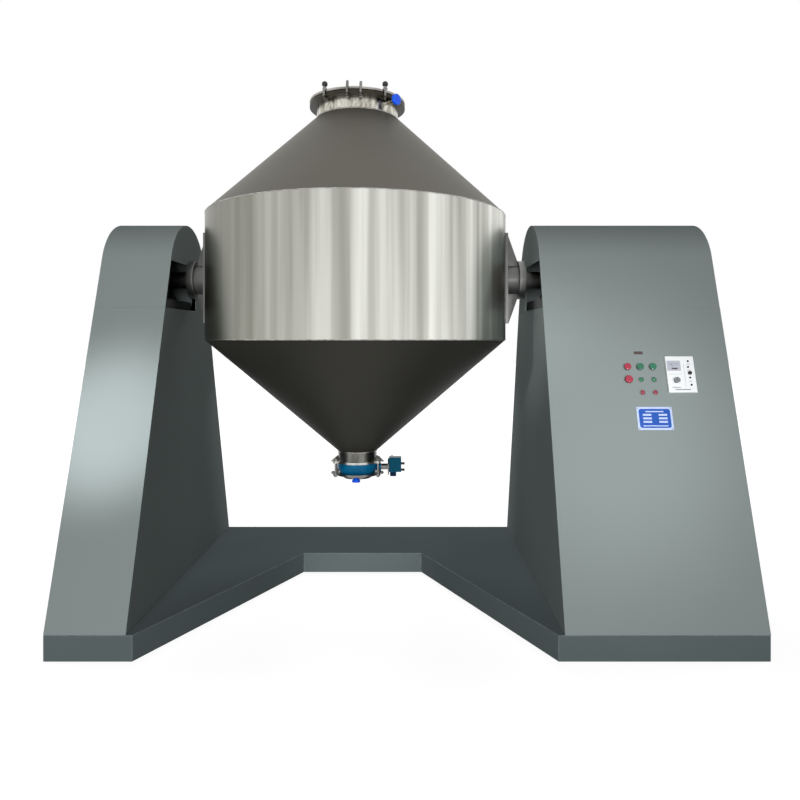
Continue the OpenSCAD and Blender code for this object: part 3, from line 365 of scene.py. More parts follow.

# %% [markdown]
# Stainless steel is one colour with many finishes. The drum's straight band is belt polished,
# the cones are glass-bead blasted and dull, and the fittings are turned. The lower cone gets a
# darker copy of the cones' steel, which is painted shade. Metal gets all its colour from what it
# mirrors, so the roughness does most of the work. A blasted surface also scatters light like
# paint, and the cones get that from a lower metal share.

# %% Steel finishes
SCRATCH_DEPTH = 0.3 * MM


def make_steel(name, color, roughness, cloud=0.08, stretch=(1, 1, 1), scale=500.0, scratch=0.06,
               patches=6.0, metal=1.0):
    """stretch: how fast the scratches change along each axis, so 0.06 draws them out long."""
    material, tree, shader = start_material(name, Metallic=metal, Specular_IOR_Level=0.2)
    clouds = place_group(
        tree, BLOTCHES, Scale=patches, Color_A=shade(color, 1 - cloud), Color_B=shade(color, 1 + cloud),
    )
    edges = place_group(tree, EDGE_WEAR, Worn_Color=shade(color, 1.4), Amount=0.5)
    along_x, along_y, along_z = stretch
    grain = place_group(tree, GRAIN, Scale=scale, Stretch_X=along_x, Stretch_Y=along_y, Stretch_Z=along_z)
    wire(tree, clouds, "Color", edges, "Color")
    wire(tree, edges, "Color", shader, "Base Color")
    gloss_range = (roughness - 0.06, roughness + 0.06)
    finish_surface(tree, shader, grain.outputs["Height"], grain, gloss_range, scratch, SCRATCH_DEPTH)
    return material


UPPER_STEEL = (0.137, 0.129, 0.108)
# Painted shade: a darker copy of the upper cone's steel for the cone that faces down
LOWER_SHADED_STEEL = (0.034, 0.033, 0.027)
TURNED_STEEL = (0.240, 0.240, 0.232)
# Dark steel: the sprockets' own colour, and painted shade on the feed flange and the tabs under it
DARK_STEEL_AND_SHADE = (0.036, 0.032, 0.022)
WELD_STEEL = (0.420, 0.410, 0.380)

upper_steel = make_steel(
    "upper_cone_steel", UPPER_STEEL, 0.50, cloud=0.05, scratch=0.15, scale=900.0, patches=2.0, metal=0.6,
)
# The lower cone's darker steel is painted shade
lower_shaded_steel = make_steel(
    "lower_cone_shaded_steel", LOWER_SHADED_STEEL, 0.55, cloud=0.08, scratch=0.15, scale=900.0, patches=2.0, metal=0.5,
)
lid_steel = make_steel("lid_steel", (0.34, 0.32, 0.30), 0.28, cloud=0.35, patches=14.0)
# Bright steel: its pale colour is partly a painted highlight, on the outlet neck's flange and the lid's edge
# bead
bright_steel = make_steel("bright_steel", (0.60, 0.59, 0.56), 0.24, cloud=0.20, patches=20.0)
turned_steel = make_steel(
    "turned_steel", TURNED_STEEL, 0.30, cloud=0.20, stretch=(1, 0.06, 0.06), patches=14.0,
)
saddle_steel = make_steel("saddle_steel", (0.150, 0.150, 0.146), 0.38, cloud=0.15, patches=7.0, metal=0.8)
dark_steel = make_steel("dark_steel", DARK_STEEL_AND_SHADE, 0.42, cloud=0.20, patches=20.0, metal=0.3)
weld_steel = make_steel("weld_steel", WELD_STEEL, 0.34, cloud=0.30, scale=350.0, scratch=0.8, patches=45.0)
chain_steel = make_steel("chain_steel", (0.16, 0.15, 0.14), 0.38, cloud=0.3, patches=60.0)
zinc_steel = make_steel("zinc_steel", (0.34, 0.34, 0.33), 0.32, cloud=0.12, patches=80.0)
bezel_steel = make_steel("bezel_steel", (0.20, 0.21, 0.21), 0.36, cloud=0.10, patches=60.0, metal=0.7)
bronze = make_steel("bronze", (0.55, 0.33, 0.12), 0.34)
print("steels made")

# %% [markdown]
# The straight band, the feed neck and the outlet neck are belt polished round and round, so
# they show upright bands: broad ones with narrow ones in them. Their pale and grey are partly
# those polish marks and partly painted reflections of the room. The band of the drum also has
# painted shade: its steel is darker towards the two trunnions. Painting that by the angle to the
# camera would make it stand still, so it follows the drum's own length and turns with the drum.

# %% Banded steels
# Pale and grey bands: partly polish marks, partly painted reflections of the room
BAND_PALE = (0.86, 0.865, 0.80)
BAND_GREY = (0.38, 0.375, 0.335)
NECK_GREY, NECK_PALE = (0.22, 0.205, 0.155), (0.78, 0.76, 0.68)
POLISHED_GREY, POLISHED_PALE = (0.08, 0.08, 0.07), (0.27, 0.27, 0.25)
# Painted shade: the band's steel colour towards both trunnions
BAND_END_SHADE = (0.200, 0.197, 0.165)
# How far the painted shade at the ends reaches in from each trunnion, as shares of the drum's radius
END_SHADE_REACH = (1.20, 0.08)


def make_end_shade_mask(tree, reach_low, reach_high):
    """A socket that gives 1 over the middle of the drum's length and 0 at both trunnions."""
    place = add(tree, "ShaderNodeTexCoord")
    split = add(tree, "ShaderNodeSeparateXYZ")
    low_end, high_end = DRUM_X - DRUM_R, DRUM_X + DRUM_R
    low = add(tree, "ShaderNodeMapRange", {
        "From Min": low_end, "From Max": low_end + reach_low * DRUM_R,
    }, interpolation_type="SMOOTHSTEP")
    high = add(tree, "ShaderNodeMapRange", {
        "From Min": high_end, "From Max": high_end - reach_high * DRUM_R,
    })
    both = add(tree, "ShaderNodeMath", operation="MULTIPLY")
    wire(tree, place, "Object", split, "Vector")
    wire(tree, split, "X", low, "Value")
    wire(tree, split, "X", high, "Value")
    tree.links.new(low.outputs["Result"], both.inputs[0])
    tree.links.new(high.outputs["Result"], both.inputs[1])
    return both.outputs["Value"]


def make_band_steel(name, grey, pale, broad_scale, narrow_scale, narrow_share, rise, roughness, end_shade=None):
    material, tree, shader = start_material(name, Metallic=1.0)
    broad = place_group(tree, BANDS, Scale=broad_scale, Softness=0.13, Rise=rise)
    narrow = place_group(tree, BANDS, Scale=narrow_scale, Softness=0.17, Rise=rise * 2)
    marks = place_group(tree, GRAIN, Scale=700.0, Stretch_X=0.02, Stretch_Y=0.02, Stretch_Z=1.0)
    both = add(tree, "ShaderNodeMix", {"Factor": narrow_share}, data_type="FLOAT")
    wire(tree, broad, "Mask", both, "A")
    wire(tree, narrow, "Mask", both, "B")
    color = mix_colors(tree, both.outputs["Result"], grey + (1,), pale + (1,))
    if end_shade:
        # Painted shade: the band darkens towards both trunnions
        color = mix_colors(tree, make_end_shade_mask(tree, *END_SHADE_REACH), end_shade + (1,), color)
    tree.links.new(color, shader.inputs["Base Color"])
    gloss_range = (roughness - 0.07, roughness + 0.07)
    finish_surface(tree, shader, marks.outputs["Height"], marks, gloss_range, 0.05, SCRATCH_DEPTH)
    return material


band_steel = make_band_steel(
    "band_steel", BAND_GREY, BAND_PALE, broad_scale=7.5, narrow_scale=26.0, narrow_share=0.45,
    rise=0.012, roughness=0.32, end_shade=BAND_END_SHADE,
)
neck_steel = make_band_steel(
    "neck_steel", NECK_GREY, NECK_PALE, broad_scale=36.0, narrow_scale=90.0, narrow_share=0.4,
    rise=0.25, roughness=0.28,
)
polished_steel = make_band_steel(
    "polished_steel", POLISHED_GREY, POLISHED_PALE, broad_scale=16.0, narrow_scale=55.0,
    narrow_share=0.3, rise=0.2, roughness=0.30,
)
print("materials", band_steel.name, neck_steel.name, polished_steel.name)

# %% [markdown]
# Plastics and rubber: gloss for knobs, buttons and lenses, satin for the control unit's case.
# A plain colour would look like a drawing. Moulded parts have a faint texture and a slow
# change of tone, much as sprayed paint has, so the paint function makes them too.

# %% Plastic and rubber finishes
knob_blue = make_paint("knob_blue", (0.004, 0.085, 0.72), 0.30, cloud=0.10, peel=0.03, worn=1.6, wear=0.6)
black_plastic = make_paint(
    "black_plastic", (0.012, 0.012, 0.013), 0.22, cloud=0.2, peel=0.03, worn=2.5, wear=0.4,
)
button_red = make_paint("button_red", (0.28, 0.012, 0.034), 0.20, cloud=0.10, peel=0.02, coat=0.4)
button_green = make_paint("button_green", (0.006, 0.120, 0.060), 0.20, cloud=0.10, peel=0.02, coat=0.4)
lens_red = make_paint("lens_red", (0.210, 0.016, 0.040), 0.16, cloud=0.10, peel=0.02, coat=0.6)
unit_white = make_paint(
    "unit_white", (0.66, 0.68, 0.69), 0.38, cloud=0.02, peel=0.05, worn=1.05, specular=0.3,
)
window_grey = make_paint("window_grey", (0.36, 0.39, 0.44), 0.12, cloud=0.05, peel=0.01, coat=0.4)
print_grey = make_paint("print_grey", (0.22, 0.24, 0.27), 0.5, cloud=0.05, peel=0.01, specular=0.2)
plate_blue = make_paint("plate_blue", (0.012, 0.070, 0.34), 0.34, cloud=0.08, peel=0.02, specular=0.3)
plate_pale = make_paint("plate_pale", (0.40, 0.48, 0.68), 0.38, cloud=0.06, peel=0.02, specular=0.3)
knob_grey = make_paint("knob_grey", (0.16, 0.17, 0.18), 0.35, cloud=0.10, peel=0.03, specular=0.4)
label_dark = make_paint("label_dark", (0.050, 0.030, 0.028), 0.45)
rubber_black = make_paint("rubber_black", (0.018, 0.018, 0.018), 0.65, cloud=0.2, peel=0.2)
print("plastics made")

# %% [markdown]
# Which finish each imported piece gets, read off the photograph, or off such machines in general
# for what is hidden. The finishes could follow the record's material slots, but bright steel
# alone holds the brushed band, the dark flange and the turned shafts, so the table goes by
# piece. A piece whose shape is right as packed keeps its mesh and only gets its finish.

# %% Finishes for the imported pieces
FINISH = {
    "plinth": plinth_paint,
    "idle_casing": stand_paint, "idle_cover": stand_paint,
    "drive_casing": stand_paint, "drive_cover": stand_paint,
    "idle_frame": frame_paint, "drive_frame": frame_paint, "motor_stool": frame_paint,
    "idle_bearing": casting_paint, "drive_bearing": casting_paint,
    "idle_bush": bronze, "drive_bush": bronze,
    "bearing_bolts": zinc_steel, "motor_bolts": zinc_steel, "valve_bolts": zinc_steel,
    "gearbox": drive_paint, "motor": drive_paint,
    "roller_chain": chain_steel, "drum_sprocket": dark_steel, "motor_sprocket": dark_steel,
    "bezels": bezel_steel, "green_lenses": button_green, "red_lenses": lens_red,
    "control_unit": unit_white, "unit_window": window_grey, "unit_caps": black_plastic,
    "nameplate": plate_pale, "label_plate": label_dark,
    "drum_cylinder": band_steel, "upper_cone": upper_steel, "lower_cone": lower_shaded_steel,
    # The feed flange's dark steel is painted shade
    "feed_neck": neck_steel, "feed_flange": dark_steel, "lid_gasket": rubber_black,
    "guide_studs": turned_steel, "lid": lid_steel, "lid_handle": polished_steel,
    "idle_saddle": saddle_steel, "drive_saddle": saddle_steel,
    "idle_shaft": turned_steel, "drive_shaft": turned_steel,
    "outlet_neck": polished_steel, "valve_body": valve_paint, "valve_seat": rubber_black,
    "notch_plate": turned_steel, "spigot_flange": turned_steel, "bag_studs": turned_steel,
    "ball_knob_a": black_plastic, "ball_knob_b": black_plastic,
    "ball_knob_c": black_plastic, "ball_knob_d": black_plastic,
    "vent_knob": knob_blue, "outlet_knob": knob_blue,
    "valve_disc": polished_steel, "valve_lever": lever_paint,
    "red_button": button_red, "green_button_a": button_green, "green_button_b": button_green,
    "stop_button": button_red, "speed_knob": knob_grey,
}


def give_finish(piece, *materials):
    """Clears only what is there, because clearing also resets which face has which finish."""
    if len(piece.data.materials):
        piece.data.materials.clear()
    for material in materials:
        piece.data.materials.append(material)


for node, finish in FINISH.items():
    give_finish(NODES[node], finish)
print("finishes given:", len(FINISH), "of", len(NODES))

# %% [markdown]
# Sheet and plate are never sharp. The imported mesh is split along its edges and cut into
# triangles, so a bevel modifier would find nothing to round. So a copy is merged into one
# surface, its flat faces are made whole again, and its sharp edges are rounded. The rounded
# faces carry the edge mark that the wear effect reads. The copy then stands for the packed
# piece.

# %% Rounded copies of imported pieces
MERGE = 0.02 * MM
FLAT = radians(0.6)
SHARP = radians(28)


def link(name, data):
    made = bpy.data.objects.new(name, data)
    bpy.context.scene.collection.objects.link(made)
    return made


def finish_mesh(work, name):
    mesh = bpy.data.meshes.new(name)
    work.to_mesh(mesh)
    work.free()
    mesh.shade_smooth()
    mesh.set_sharp_from_angle(angle=SHARP)
    return link(name, mesh)


def bevel_edges(work, edges, width, segments):
    made = bmesh.ops.bevel(
        work, geom=edges, offset=width, offset_type="OFFSET", segments=segments, profile=0.5,
        affect="EDGES", clamp_overlap=True, material=-1,
    )
    return made["faces"]


BUTTONS = ("red_button", "green_button_a", "green_button_b", "stop_button")


def rounded_work(node, width, segments=2):
    """A bmesh of the node, merged, with its sharp edges rounded and marked.

    A button's inward corner, where its cap meets the plunger, stays sharp: a fillet there
    would meet the bezel when the button is pressed.
    """
    work = bmesh.new()
    work.from_mesh(NODES[node].data)
    bmesh.ops.remove_doubles(work, verts=work.verts, dist=MERGE)
    bmesh.ops.dissolve_limit(work, angle_limit=FLAT, verts=work.verts, edges=work.edges)
    mark = work.faces.layers.float.new("edge_mark")
    sharp = [
        e for e in work.edges
        if len(e.link_faces) == 2 and e.calc_face_angle() > SHARP and (e.is_convex or node not in BUTTONS)
    ]
    for face in bevel_edges(work, sharp, width, segments):
        face[mark] = 1.0
    return work


def stand_in(piece, *nodes, materials=None):
    """The piece takes the place, the body and the finish of these nodes."""
    give_finish(piece, *(materials or [FINISH[nodes[0]]]))
    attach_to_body(piece, BODY_OF[nodes[0]])
    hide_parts(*nodes)
    return piece


def keep_flat(piece):
    weighted = piece.modifiers.new("flat_faces_stay_flat", "WEIGHTED_NORMAL")
    weighted.keep_sharp = True
    weighted.weight = 100


def round_off(node, width, segments=2):
    piece = finish_mesh(rounded_work(node, width, segments), node + "_rounded")
    keep_flat(piece)
    return stand_in(piece, node)


# Edge radii in millimetres. A radius from WIDE up gets more segments, because it shows.
WIDE = 2.2
ROUNDING = {
    "plinth": 3.0, "idle_casing": 2.6, "drive_casing": 2.6, "idle_cover": 2.6, "drive_cover": 2.6,
    "feed_flange": 1.5, "lid": 2.5, "idle_saddle": 2.0, "drive_saddle": 2.0,
    "idle_shaft": 2.0, "drive_shaft": 2.0, "vent_knob": 6.0,
    "spigot_flange": 1.5, "notch_plate": 0.8, "control_unit": 2.0, "valve_bolts": 0.8,
    "stop_button": 3.0, "red_button": 2.4, "green_button_a": 2.4, "green_button_b": 2.4,
    "bezels": 1.0, "nameplate": 0.4, "label_plate": 0.4, "speed_knob": 0.8,
}
for node, millimetres in ROUNDING.items():
    piece = round_off(node, millimetres * MM, 2 if millimetres < WIDE else 4)
    print(piece.name, len(piece.data.polygons), "faces")

# %% [markdown]
# Some imported pieces are one solid but two finishes: a black ball moulded on a steel screw, a
# polished neck with a turned flange in bright steel, whose pale colour is partly a painted
# highlight along its edge, a painted lever with black grips and a navy block.
# A mask in the material would blur where one finish meets the next. So each face of the
# rounded copy gets its finish from where it lies, and the join is sharp.

# %% Pieces in two or three finishes
BALL_R = 13 * MM
FLANGE_T = 10 * MM
# From the drum's upright line to where the lever's grips begin, and from the stem's line down
# to where its lower block begins
GRIP_END = 201.5 * MM
BLOCK_DOWN = 22.5 * MM


def many_tone(node, width, pick, *materials, split_at=None):
    """Rounds the node; pick gives a face's place among the materials from its middle.

    split_at is a height at which faces are cut in two first, for a change of colour that
    runs through a flat face.
    """
    work = rounded_work(node, width)
    if split_at is not None:
        everything = work.verts[:] + work.edges[:] + work.faces[:]
        level = {"plane_co": (0, 0, split_at), "plane_no": (0, 0, 1)}
        bmesh.ops.bisect_plane(work, geom=everything, dist=MERGE, **level)
    for face in work.faces:
        face.material_index = pick(face.calc_center_median())
    piece = finish_mesh(work, node + "_toned")
    keep_flat(piece)
    return stand_in(piece, node, materials=list(materials))


for letter in "abcd":
    node = "ball_knob_" + letter
    ball_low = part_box(node)[1].z - 2 * BALL_R
    many_tone(node, 0.6 * MM, lambda at: int(at.z < ball_low), FINISH[node], turned_steel)
# The flange at the neck's foot gets bright steel, partly a painted highlight along its edge
neck_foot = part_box("outlet_neck")[0].z + FLANGE_T
many_tone(
    "outlet_neck", 1.2 * MM, lambda at: int(at.z < neck_foot + MERGE), polished_steel, bright_steel,
)
block_top = middle("valve_disc").z - BLOCK_DOWN


def lever_tone(at):
    if at.x > DRUM_X + GRIP_END:
        return 1
    return 2 if at.z < block_top else 0


lever_tones = (lever_paint, black_plastic, navy_paint)
many_tone("valve_lever", 2.0 * MM, lever_tone, *lever_tones, split_at=block_top)
print("pieces in several finishes made")

# %% [markdown]
# The drum is rolled sheet, so its three shells are bodies of revolution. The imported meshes
# could be smoothed, but their outline against the white would keep its corners. Spinning a
# short profile with many steps gives a round one, with a small chamfer that shows as a bright
# line along both rims of the band.

# %% Spun pieces
ROUND_STEPS = 256


def spin_profile(name, points):
    """Turns a closed outline of (radius, height) points about an upright line through the drum."""
    work = bmesh.new()
    verts = [work.verts.new((DRUM_X + radius, 0, height)) for radius, height in points]
    edges = [work.edges.new(pair) for pair in zip(verts, verts[1:] + verts[:1])]
    bmesh.ops.spin(
        work, geom=verts + edges, cent=(DRUM_X, 0, 0), axis=(0, 0, 1), angle=tau, steps=ROUND_STEPS,
        use_merge=True,
    )
    bmesh.ops.remove_doubles(work, verts=work.verts, dist=MERGE)
    bmesh.ops.recalc_face_normals(work, faces=work.faces)
    return finish_mesh(work, name)


FOLD = 1.2 * MM
low_z, high_z = DRUM_LOW.z, DRUM_HIGH.z
barrel = spin_profile("drum_band", [
    (DRUM_R - WALL, low_z), (DRUM_R - FOLD, low_z), (DRUM_R, low_z + FOLD),
    (DRUM_R, high_z - FOLD), (DRUM_R - FOLD, high_z), (DRUM_R - WALL, high_z),
])
stand_in(barrel, "drum_cylinder")
print(barrel.name, len(barrel.data.polygons), "faces")

# %% The two cones
def cone_profile(wide_r, wide_z, narrow_r, narrow_z):
    return [(wide_r, wide_z), (narrow_r, narrow_z), (narrow_r - WALL, narrow_z), (wide_r - WALL, wide_z)]


NECK_R = 186 * MM
OUTLET_R = 88 * MM
upper_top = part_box("upper_cone")[1].z
lower_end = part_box("lower_cone")[0].z
upper = spin_profile("upper_cone_skin", cone_profile(DRUM_R, high_z, NECK_R, upper_top))
lower = spin_profile("lower_cone_skin", cone_profile(DRUM_R, low_z, OUTLET_R, lower_end))
stand_in(upper, "upper_cone")
stand_in(lower, "lower_cone")
print(upper.name, lower.name)

# %% [markdown]
# Welds. The drum's shells, the two necks and the cones meet in ground beads that catch the
# light as thin bright lines. A painted line would not do that. Each bead is a small rounded
# profile spun round the drum's upright line, sunk half into the sheet.

# %% Weld beads on the drum
def attach(piece, node, *materials):
    """The piece is added beside this node: same body, its own finish."""
    give_finish(piece, *materials)
    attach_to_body(piece, BODY_OF[node])
    return piece


def bead(name, radius, height, half, node):
    """A round bead of that half width, its outline an octagon."""
    turns = [k * tau / 8 for k in range(8)]
    points = [(radius + half * cos(turn), height + half * sin(turn)) for turn in turns]
    return attach(spin_profile(name, points), node, weld_steel)


BEAD = 2.2 * MM
NECK_BEAD = 1.4 * BEAD
beads = [
    bead("upper_girth_weld", DRUM_R - BEAD / 2, high_z, BEAD, "drum_cylinder"),
    bead("lower_girth_weld", DRUM_R - BEAD / 2, low_z, BEAD, "drum_cylinder"),
    bead("feed_neck_weld", NECK_R, upper_top, NECK_BEAD, "upper_cone"),
    bead("outlet_neck_weld", OUTLET_R, lower_end, NECK_BEAD, "lower_cone"),
]
print("beads:", len(beads))

# %% [markdown]
# The butterfly valve's body is a casting that bulges between its flanges and draws in towards
# the lower one, with a round boss for the stem on its right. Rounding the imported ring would
# keep its straight wall, so both are spun from profiles of their own, inside its size.

# %% Valve body
VALVE_LOW, VALVE_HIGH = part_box("valve_body")
VALVE_Z = middle("valve_body").z
VALVE_BORE = 67.1 * MM
VALVE_R = DRUM_X - VALVE_LOW.x
BOSS_R = 18 * MM
BOSS_FROM = DRUM_X + VALVE_BORE + 12 * MM
BOSS_EDGE = 2 * MM
STEM_BORE = 8.1 * MM
STEM_STEPS = 64
valve_h = size("valve_body").z
# Radius, and height as a share of the body's height
VALVE_OUTLINE = [
    (VALVE_BORE, 0.0), (VALVE_R - 13 * MM, 0.0), (VALVE_R - 10 * MM, 0.07), (VALVE_R - 5 * MM, 0.22),
    (VALVE_R - 1.5 * MM, 0.42), (VALVE_R, 0.62), (VALVE_R - 0.5 * MM, 0.80), (VALVE_R - 3 * MM, 0.93),
    (VALVE_R - 6 * MM, 1.0), (VALVE_BORE, 1.0),
]


def spin_round_x(work, points):
    """Adds a closed outline of (x, distance from the stem's line) turned about that line."""
    verts = [work.verts.new((x, 0, VALVE_Z + r)) for x, r in points]
    edges = [work.edges.new(pair) for pair in zip(verts, verts[1:] + verts[:1])]
    bmesh.ops.spin(
        work, geom=verts + edges, cent=(0, 0, VALVE_Z), axis=(1, 0, 0), angle=tau, steps=STEM_STEPS,
        use_merge=True,
    )


body = spin_profile("valve_casting", [(r, VALVE_LOW.z + share * valve_h) for r, share in VALVE_OUTLINE])
work = bmesh.new()
work.from_mesh(body.data)
spin_round_x(work, [
    (BOSS_FROM, STEM_BORE), (BOSS_FROM, BOSS_R),
    (VALVE_HIGH.x - BOSS_EDGE, BOSS_R), (VALVE_HIGH.x, BOSS_R - BOSS_EDGE), (VALVE_HIGH.x, STEM_BORE),
])
bmesh.ops.recalc_face_normals(work, faces=work.faces)
work.to_mesh(body.data)
work.free()
body.data.shade_smooth()
body.data.set_sharp_from_angle(angle=SHARP)
stand_in(body, "valve_body")
print(body.name, len(body.data.polygons), "faces")

# %% [markdown]
# Round the port there are small parts that hold the clamp screws: a nut on the lid under each
# ball, a tab under the flange in line with each screw and each guide stud, and a post that
# stands up from the end of the tab, close outside the rim. A thin bead in bright steel runs round
# the lid's top edge, its pale colour partly a painted highlight along the rim. These are small
# fasteners and trim, which the imported model leaves out, so they are made here, placed by its
# screws, lid and flange.

# %% Nuts, tabs and posts at the feed port
CLAMPS = [middle("ball_knob_" + letter) for letter in "abcd"]
STUD_SIDE, STUD_FRONT = 29 * MM, 199 * MM
STUDS = [Vector((DRUM_X + side * STUD_SIDE, -STUD_FRONT, 0)) for side in (-1, 1)]
NUT_R, NUT_BORE, NUT_H, NUT_SIDES = 10 * MM, 7 * MM, 8 * MM, 6
TAB_W, TAB_H, TAB_EDGE = 13 * MM, 9 * MM, 1.5 * MM
POST_R, POST_GAP, POST_UP, POST_SIDES = 5 * MM, 1.5 * MM, 12 * MM, 24
LID_BEAD, LID_BEAD_IN = 1.8 * MM, 1 * MM
lid_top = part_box("lid")[1].z
flange_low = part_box("feed_flange")[0].z
RIM_R = size("feed_flange").x / 2
POST_AT = RIM_R + POST_GAP + POST_R
TAB_FROM = RIM_R - 14 * MM


def ring_at(work, at, low, high, inner, outer, sides):
    """Adds a ring with that many sides, its upper rim cut back; no bore makes it a bar."""
    cut = (outer - inner) / 6
    outline = [(outer, low), (outer, high - cut), (outer - cut, high)]
    if inner:
        outline = [(inner, low)] + outline + [(inner, high)]
    ways = [Vector((cos(k * tau / sides), sin(k * tau / sides), 0)) for k in range(sides)]
    loops = []
    for radius, height in outline:
        centre = Vector((at.x, at.y, height))
        loops.append([work.verts.new(centre + way * radius) for way in ways])
    for first, second in zip(loops, loops[1:] + (loops[:1] if inner else [])):
        for k in range(sides):
            work.faces.new((first[k], first[k - 1], second[k - 1], second[k]))
    if not inner:
        work.faces.new(loops[0])
        work.faces.new(loops[-1])


work = bmesh.new()
for at in CLAMPS:
    ring_at(work, at, lid_top, lid_top + NUT_H, NUT_BORE, NUT_R, NUT_SIDES)
bmesh.ops.recalc_face_normals(work, faces=work.faces)
lid_nuts = attach(finish_mesh(work, "lid_nuts"), "lid", zinc_steel)

work = bmesh.new()
posts = bmesh.new()
for at in CLAMPS + STUDS:
    across = at.x - DRUM_X
    out = Vector((across, copysign(sqrt(POST_AT ** 2 - across ** 2), at.y), 0)).normalized()
    centre = Vector((DRUM_X, 0, flange_low - TAB_H / 2)) + out * (TAB_FROM + POST_AT + POST_R) / 2
    turn = out.to_track_quat("X", "Z").to_matrix().to_4x4()
    shape = Matrix.Diagonal((POST_AT + POST_R - TAB_FROM, TAB_W, TAB_H, 1))
    bmesh.ops.create_cube(work, size=1, matrix=Matrix.Translation(centre) @ turn @ shape)
    post_at = Vector((DRUM_X, 0, 0)) + out * POST_AT
    ring_at(posts, post_at, flange_low - TAB_H, lid_top + POST_UP, 0, POST_R, POST_SIDES)
bevel_edges(work, list(work.edges), TAB_EDGE, 2)
bmesh.ops.recalc_face_normals(posts, faces=posts.faces)
# The tabs under the flange share its dark steel, painted shade
flange_tabs = attach(finish_mesh(work, "flange_tabs"), "feed_flange", dark_steel)
flange_posts = attach(finish_mesh(posts, "flange_posts"), "feed_flange", turned_steel)
lid_r = size("lid").x / 2
# Painted highlight: the bead's bright steel stands in for the light along the lid's rim
lid_highlight_bead = bead("lid_edge_highlight_bead", lid_r - LID_BEAD_IN, lid_top - LID_BEAD_IN, LID_BEAD, "lid")
give_finish(lid_highlight_bead, bright_steel)
print(lid_nuts.name, flange_tabs.name, flange_posts.name)

# %% [markdown]
# The panel. A print could be a mask in a material, but each bar would need several nodes of its
# own. So everything printed or engraved is a thin raised tile, placed across and up the
# leaning front of the drive stand. The prints are generic: a scale with a
# needle in the meter's window, tick marks round the knob, bars and cells where words would
# stand. The lean is read from the control unit's front, its largest face that looks forwards.

# %% Places on the leaning front
forward = [face for face in NODES["control_unit"].data.polygons if face.normal.y < 0]
unit_front = max(forward, key=lambda face: face.area)
LEAN = atan2(unit_front.normal.z, -unit_front.normal.y)
FACE_FOOT = Vector((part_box("drive_casing")[0].x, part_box("plinth")[0].y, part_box("plinth")[1].z))
FACE_UP = Vector((0, sin(LEAN), cos(LEAN)))
FACE_OUT = Vector((0, -cos(LEAN), sin(LEAN)))


def on_face(across, up, out):
    """A frame on the front: X across, Y up the slope, Z out of it. Lengths in millimetres."""
    at = FACE_FOOT + Vector((across * MM, 0, 0)) + FACE_UP * up * MM + FACE_OUT * out
    return Matrix.Translation(at) @ Matrix.Rotation(radians(90) - LEAN, 4, "X")


def face_height(node):
    return max((v.co - FACE_FOOT).dot(FACE_OUT) for v in NODES[node].data.vertices)


# How far a print stands out and is sunk in, and its cut corners as a share of its shorter side
PRINT_UP, PRINT_DOWN = 0.25 * MM, 0.3 * MM
CORNER_SHARE = 0.12


def tile(work, across, up, width, height, base, turn=0.0):
    """Adds a thin tile with rounded corners round (across, up)."""
    frame_at = on_face(across, up, base + (PRINT_UP - PRINT_DOWN) / 2) @ Matrix.Rotation(turn, 4, "Z")
    shape = Matrix.Diagonal((width * MM, height * MM, PRINT_UP + PRINT_DOWN, 1))
    made = bmesh.ops.create_cube(work, size=1, matrix=frame_at @ shape)
    upright = [
        e for e in {e for v in made["verts"] for e in v.link_edges}
        if abs((e.verts[0].co - e.verts[1].co).normalized().dot(FACE_OUT)) > 0.9
    ]
    bevel_edges(work, upright, min(width, height) * CORNER_SHARE * MM, 3)


def tiles(name, rows, base, node, material):
    """One piece from rows of (across, up, width, height[, turn])."""
    work = bmesh.new()
    for across, up, width, height, *turn in rows:
        tile(work, across, up, width, height, base, *turn)
    bmesh.ops.recalc_face_normals(work, faces=work.faces)
    return attach(finish_mesh(work, name), node, material)


print("unit stands", round(face_height("control_unit") / MM, 1), "mm out")

# %% Prints of the control unit
# Places in millimetres across the front and up its slope
UNIT = (532, 963)
WINDOW = (UNIT[0] - 25, UNIT[1] + 36)
DIAL = (UNIT[0] - 22, UNIT[1] - 26)
unit_out, window_out = face_height("control_unit"), face_height("unit_window")
TICKS, TICK_R, FIRST_TICK, TICK_STEP = 11, 17, -45, 27
unit_rows = [
    (UNIT[0], UNIT[1] - 63, 62, 4), (UNIT[0] + 14, UNIT[1] - 6, 1.0, 96),
    (DIAL[0], DIAL[1] + 27, 50, 1.0), (UNIT[0] - 24, UNIT[1] - 54, 34, 3),
    (UNIT[0] + 34, UNIT[1] + 42, 16, 2), (UNIT[0] + 34, UNIT[1] + 17, 16, 2),
    (UNIT[0] + 34, UNIT[1] - 29, 14, 2),
]
for k in range(TICKS):
    angle = radians(FIRST_TICK + k * TICK_STEP)
    unit_rows.append((DIAL[0] + TICK_R * cos(angle), DIAL[1] + TICK_R * sin(angle), 4, 1.2, angle))
tiles("unit_prints", unit_rows, unit_out, "control_unit", print_grey)
window_rows = [
    (WINDOW[0] - 20 + 4 * k, WINDOW[1] + 9, 1.2, 8 if k % 5 == 0 else 5) for k in range(TICKS)
]
window_rows += [(WINDOW[0], WINDOW[1] + 3, 44, 1.0)]
tiles("window_scale", window_rows, window_out, "control_unit", print_grey)
needle_rows = [
    (WINDOW[0] + 2, WINDOW[1] - 12, 24, 6), (WINDOW[0] - 9, WINDOW[1] + 4, 1.2, 17, radians(24)),
]
tiles("window_needle", needle_rows, window_out + PRINT_UP, "control_unit", label_dark)
tiles("knob_pointer", [(DIAL[0], DIAL[1] + 5, 1.8, 9)], face_height("speed_knob"), "speed_knob", label_dark)
print("unit prints:", len(unit_rows) + len(window_rows) + len(needle_rows))

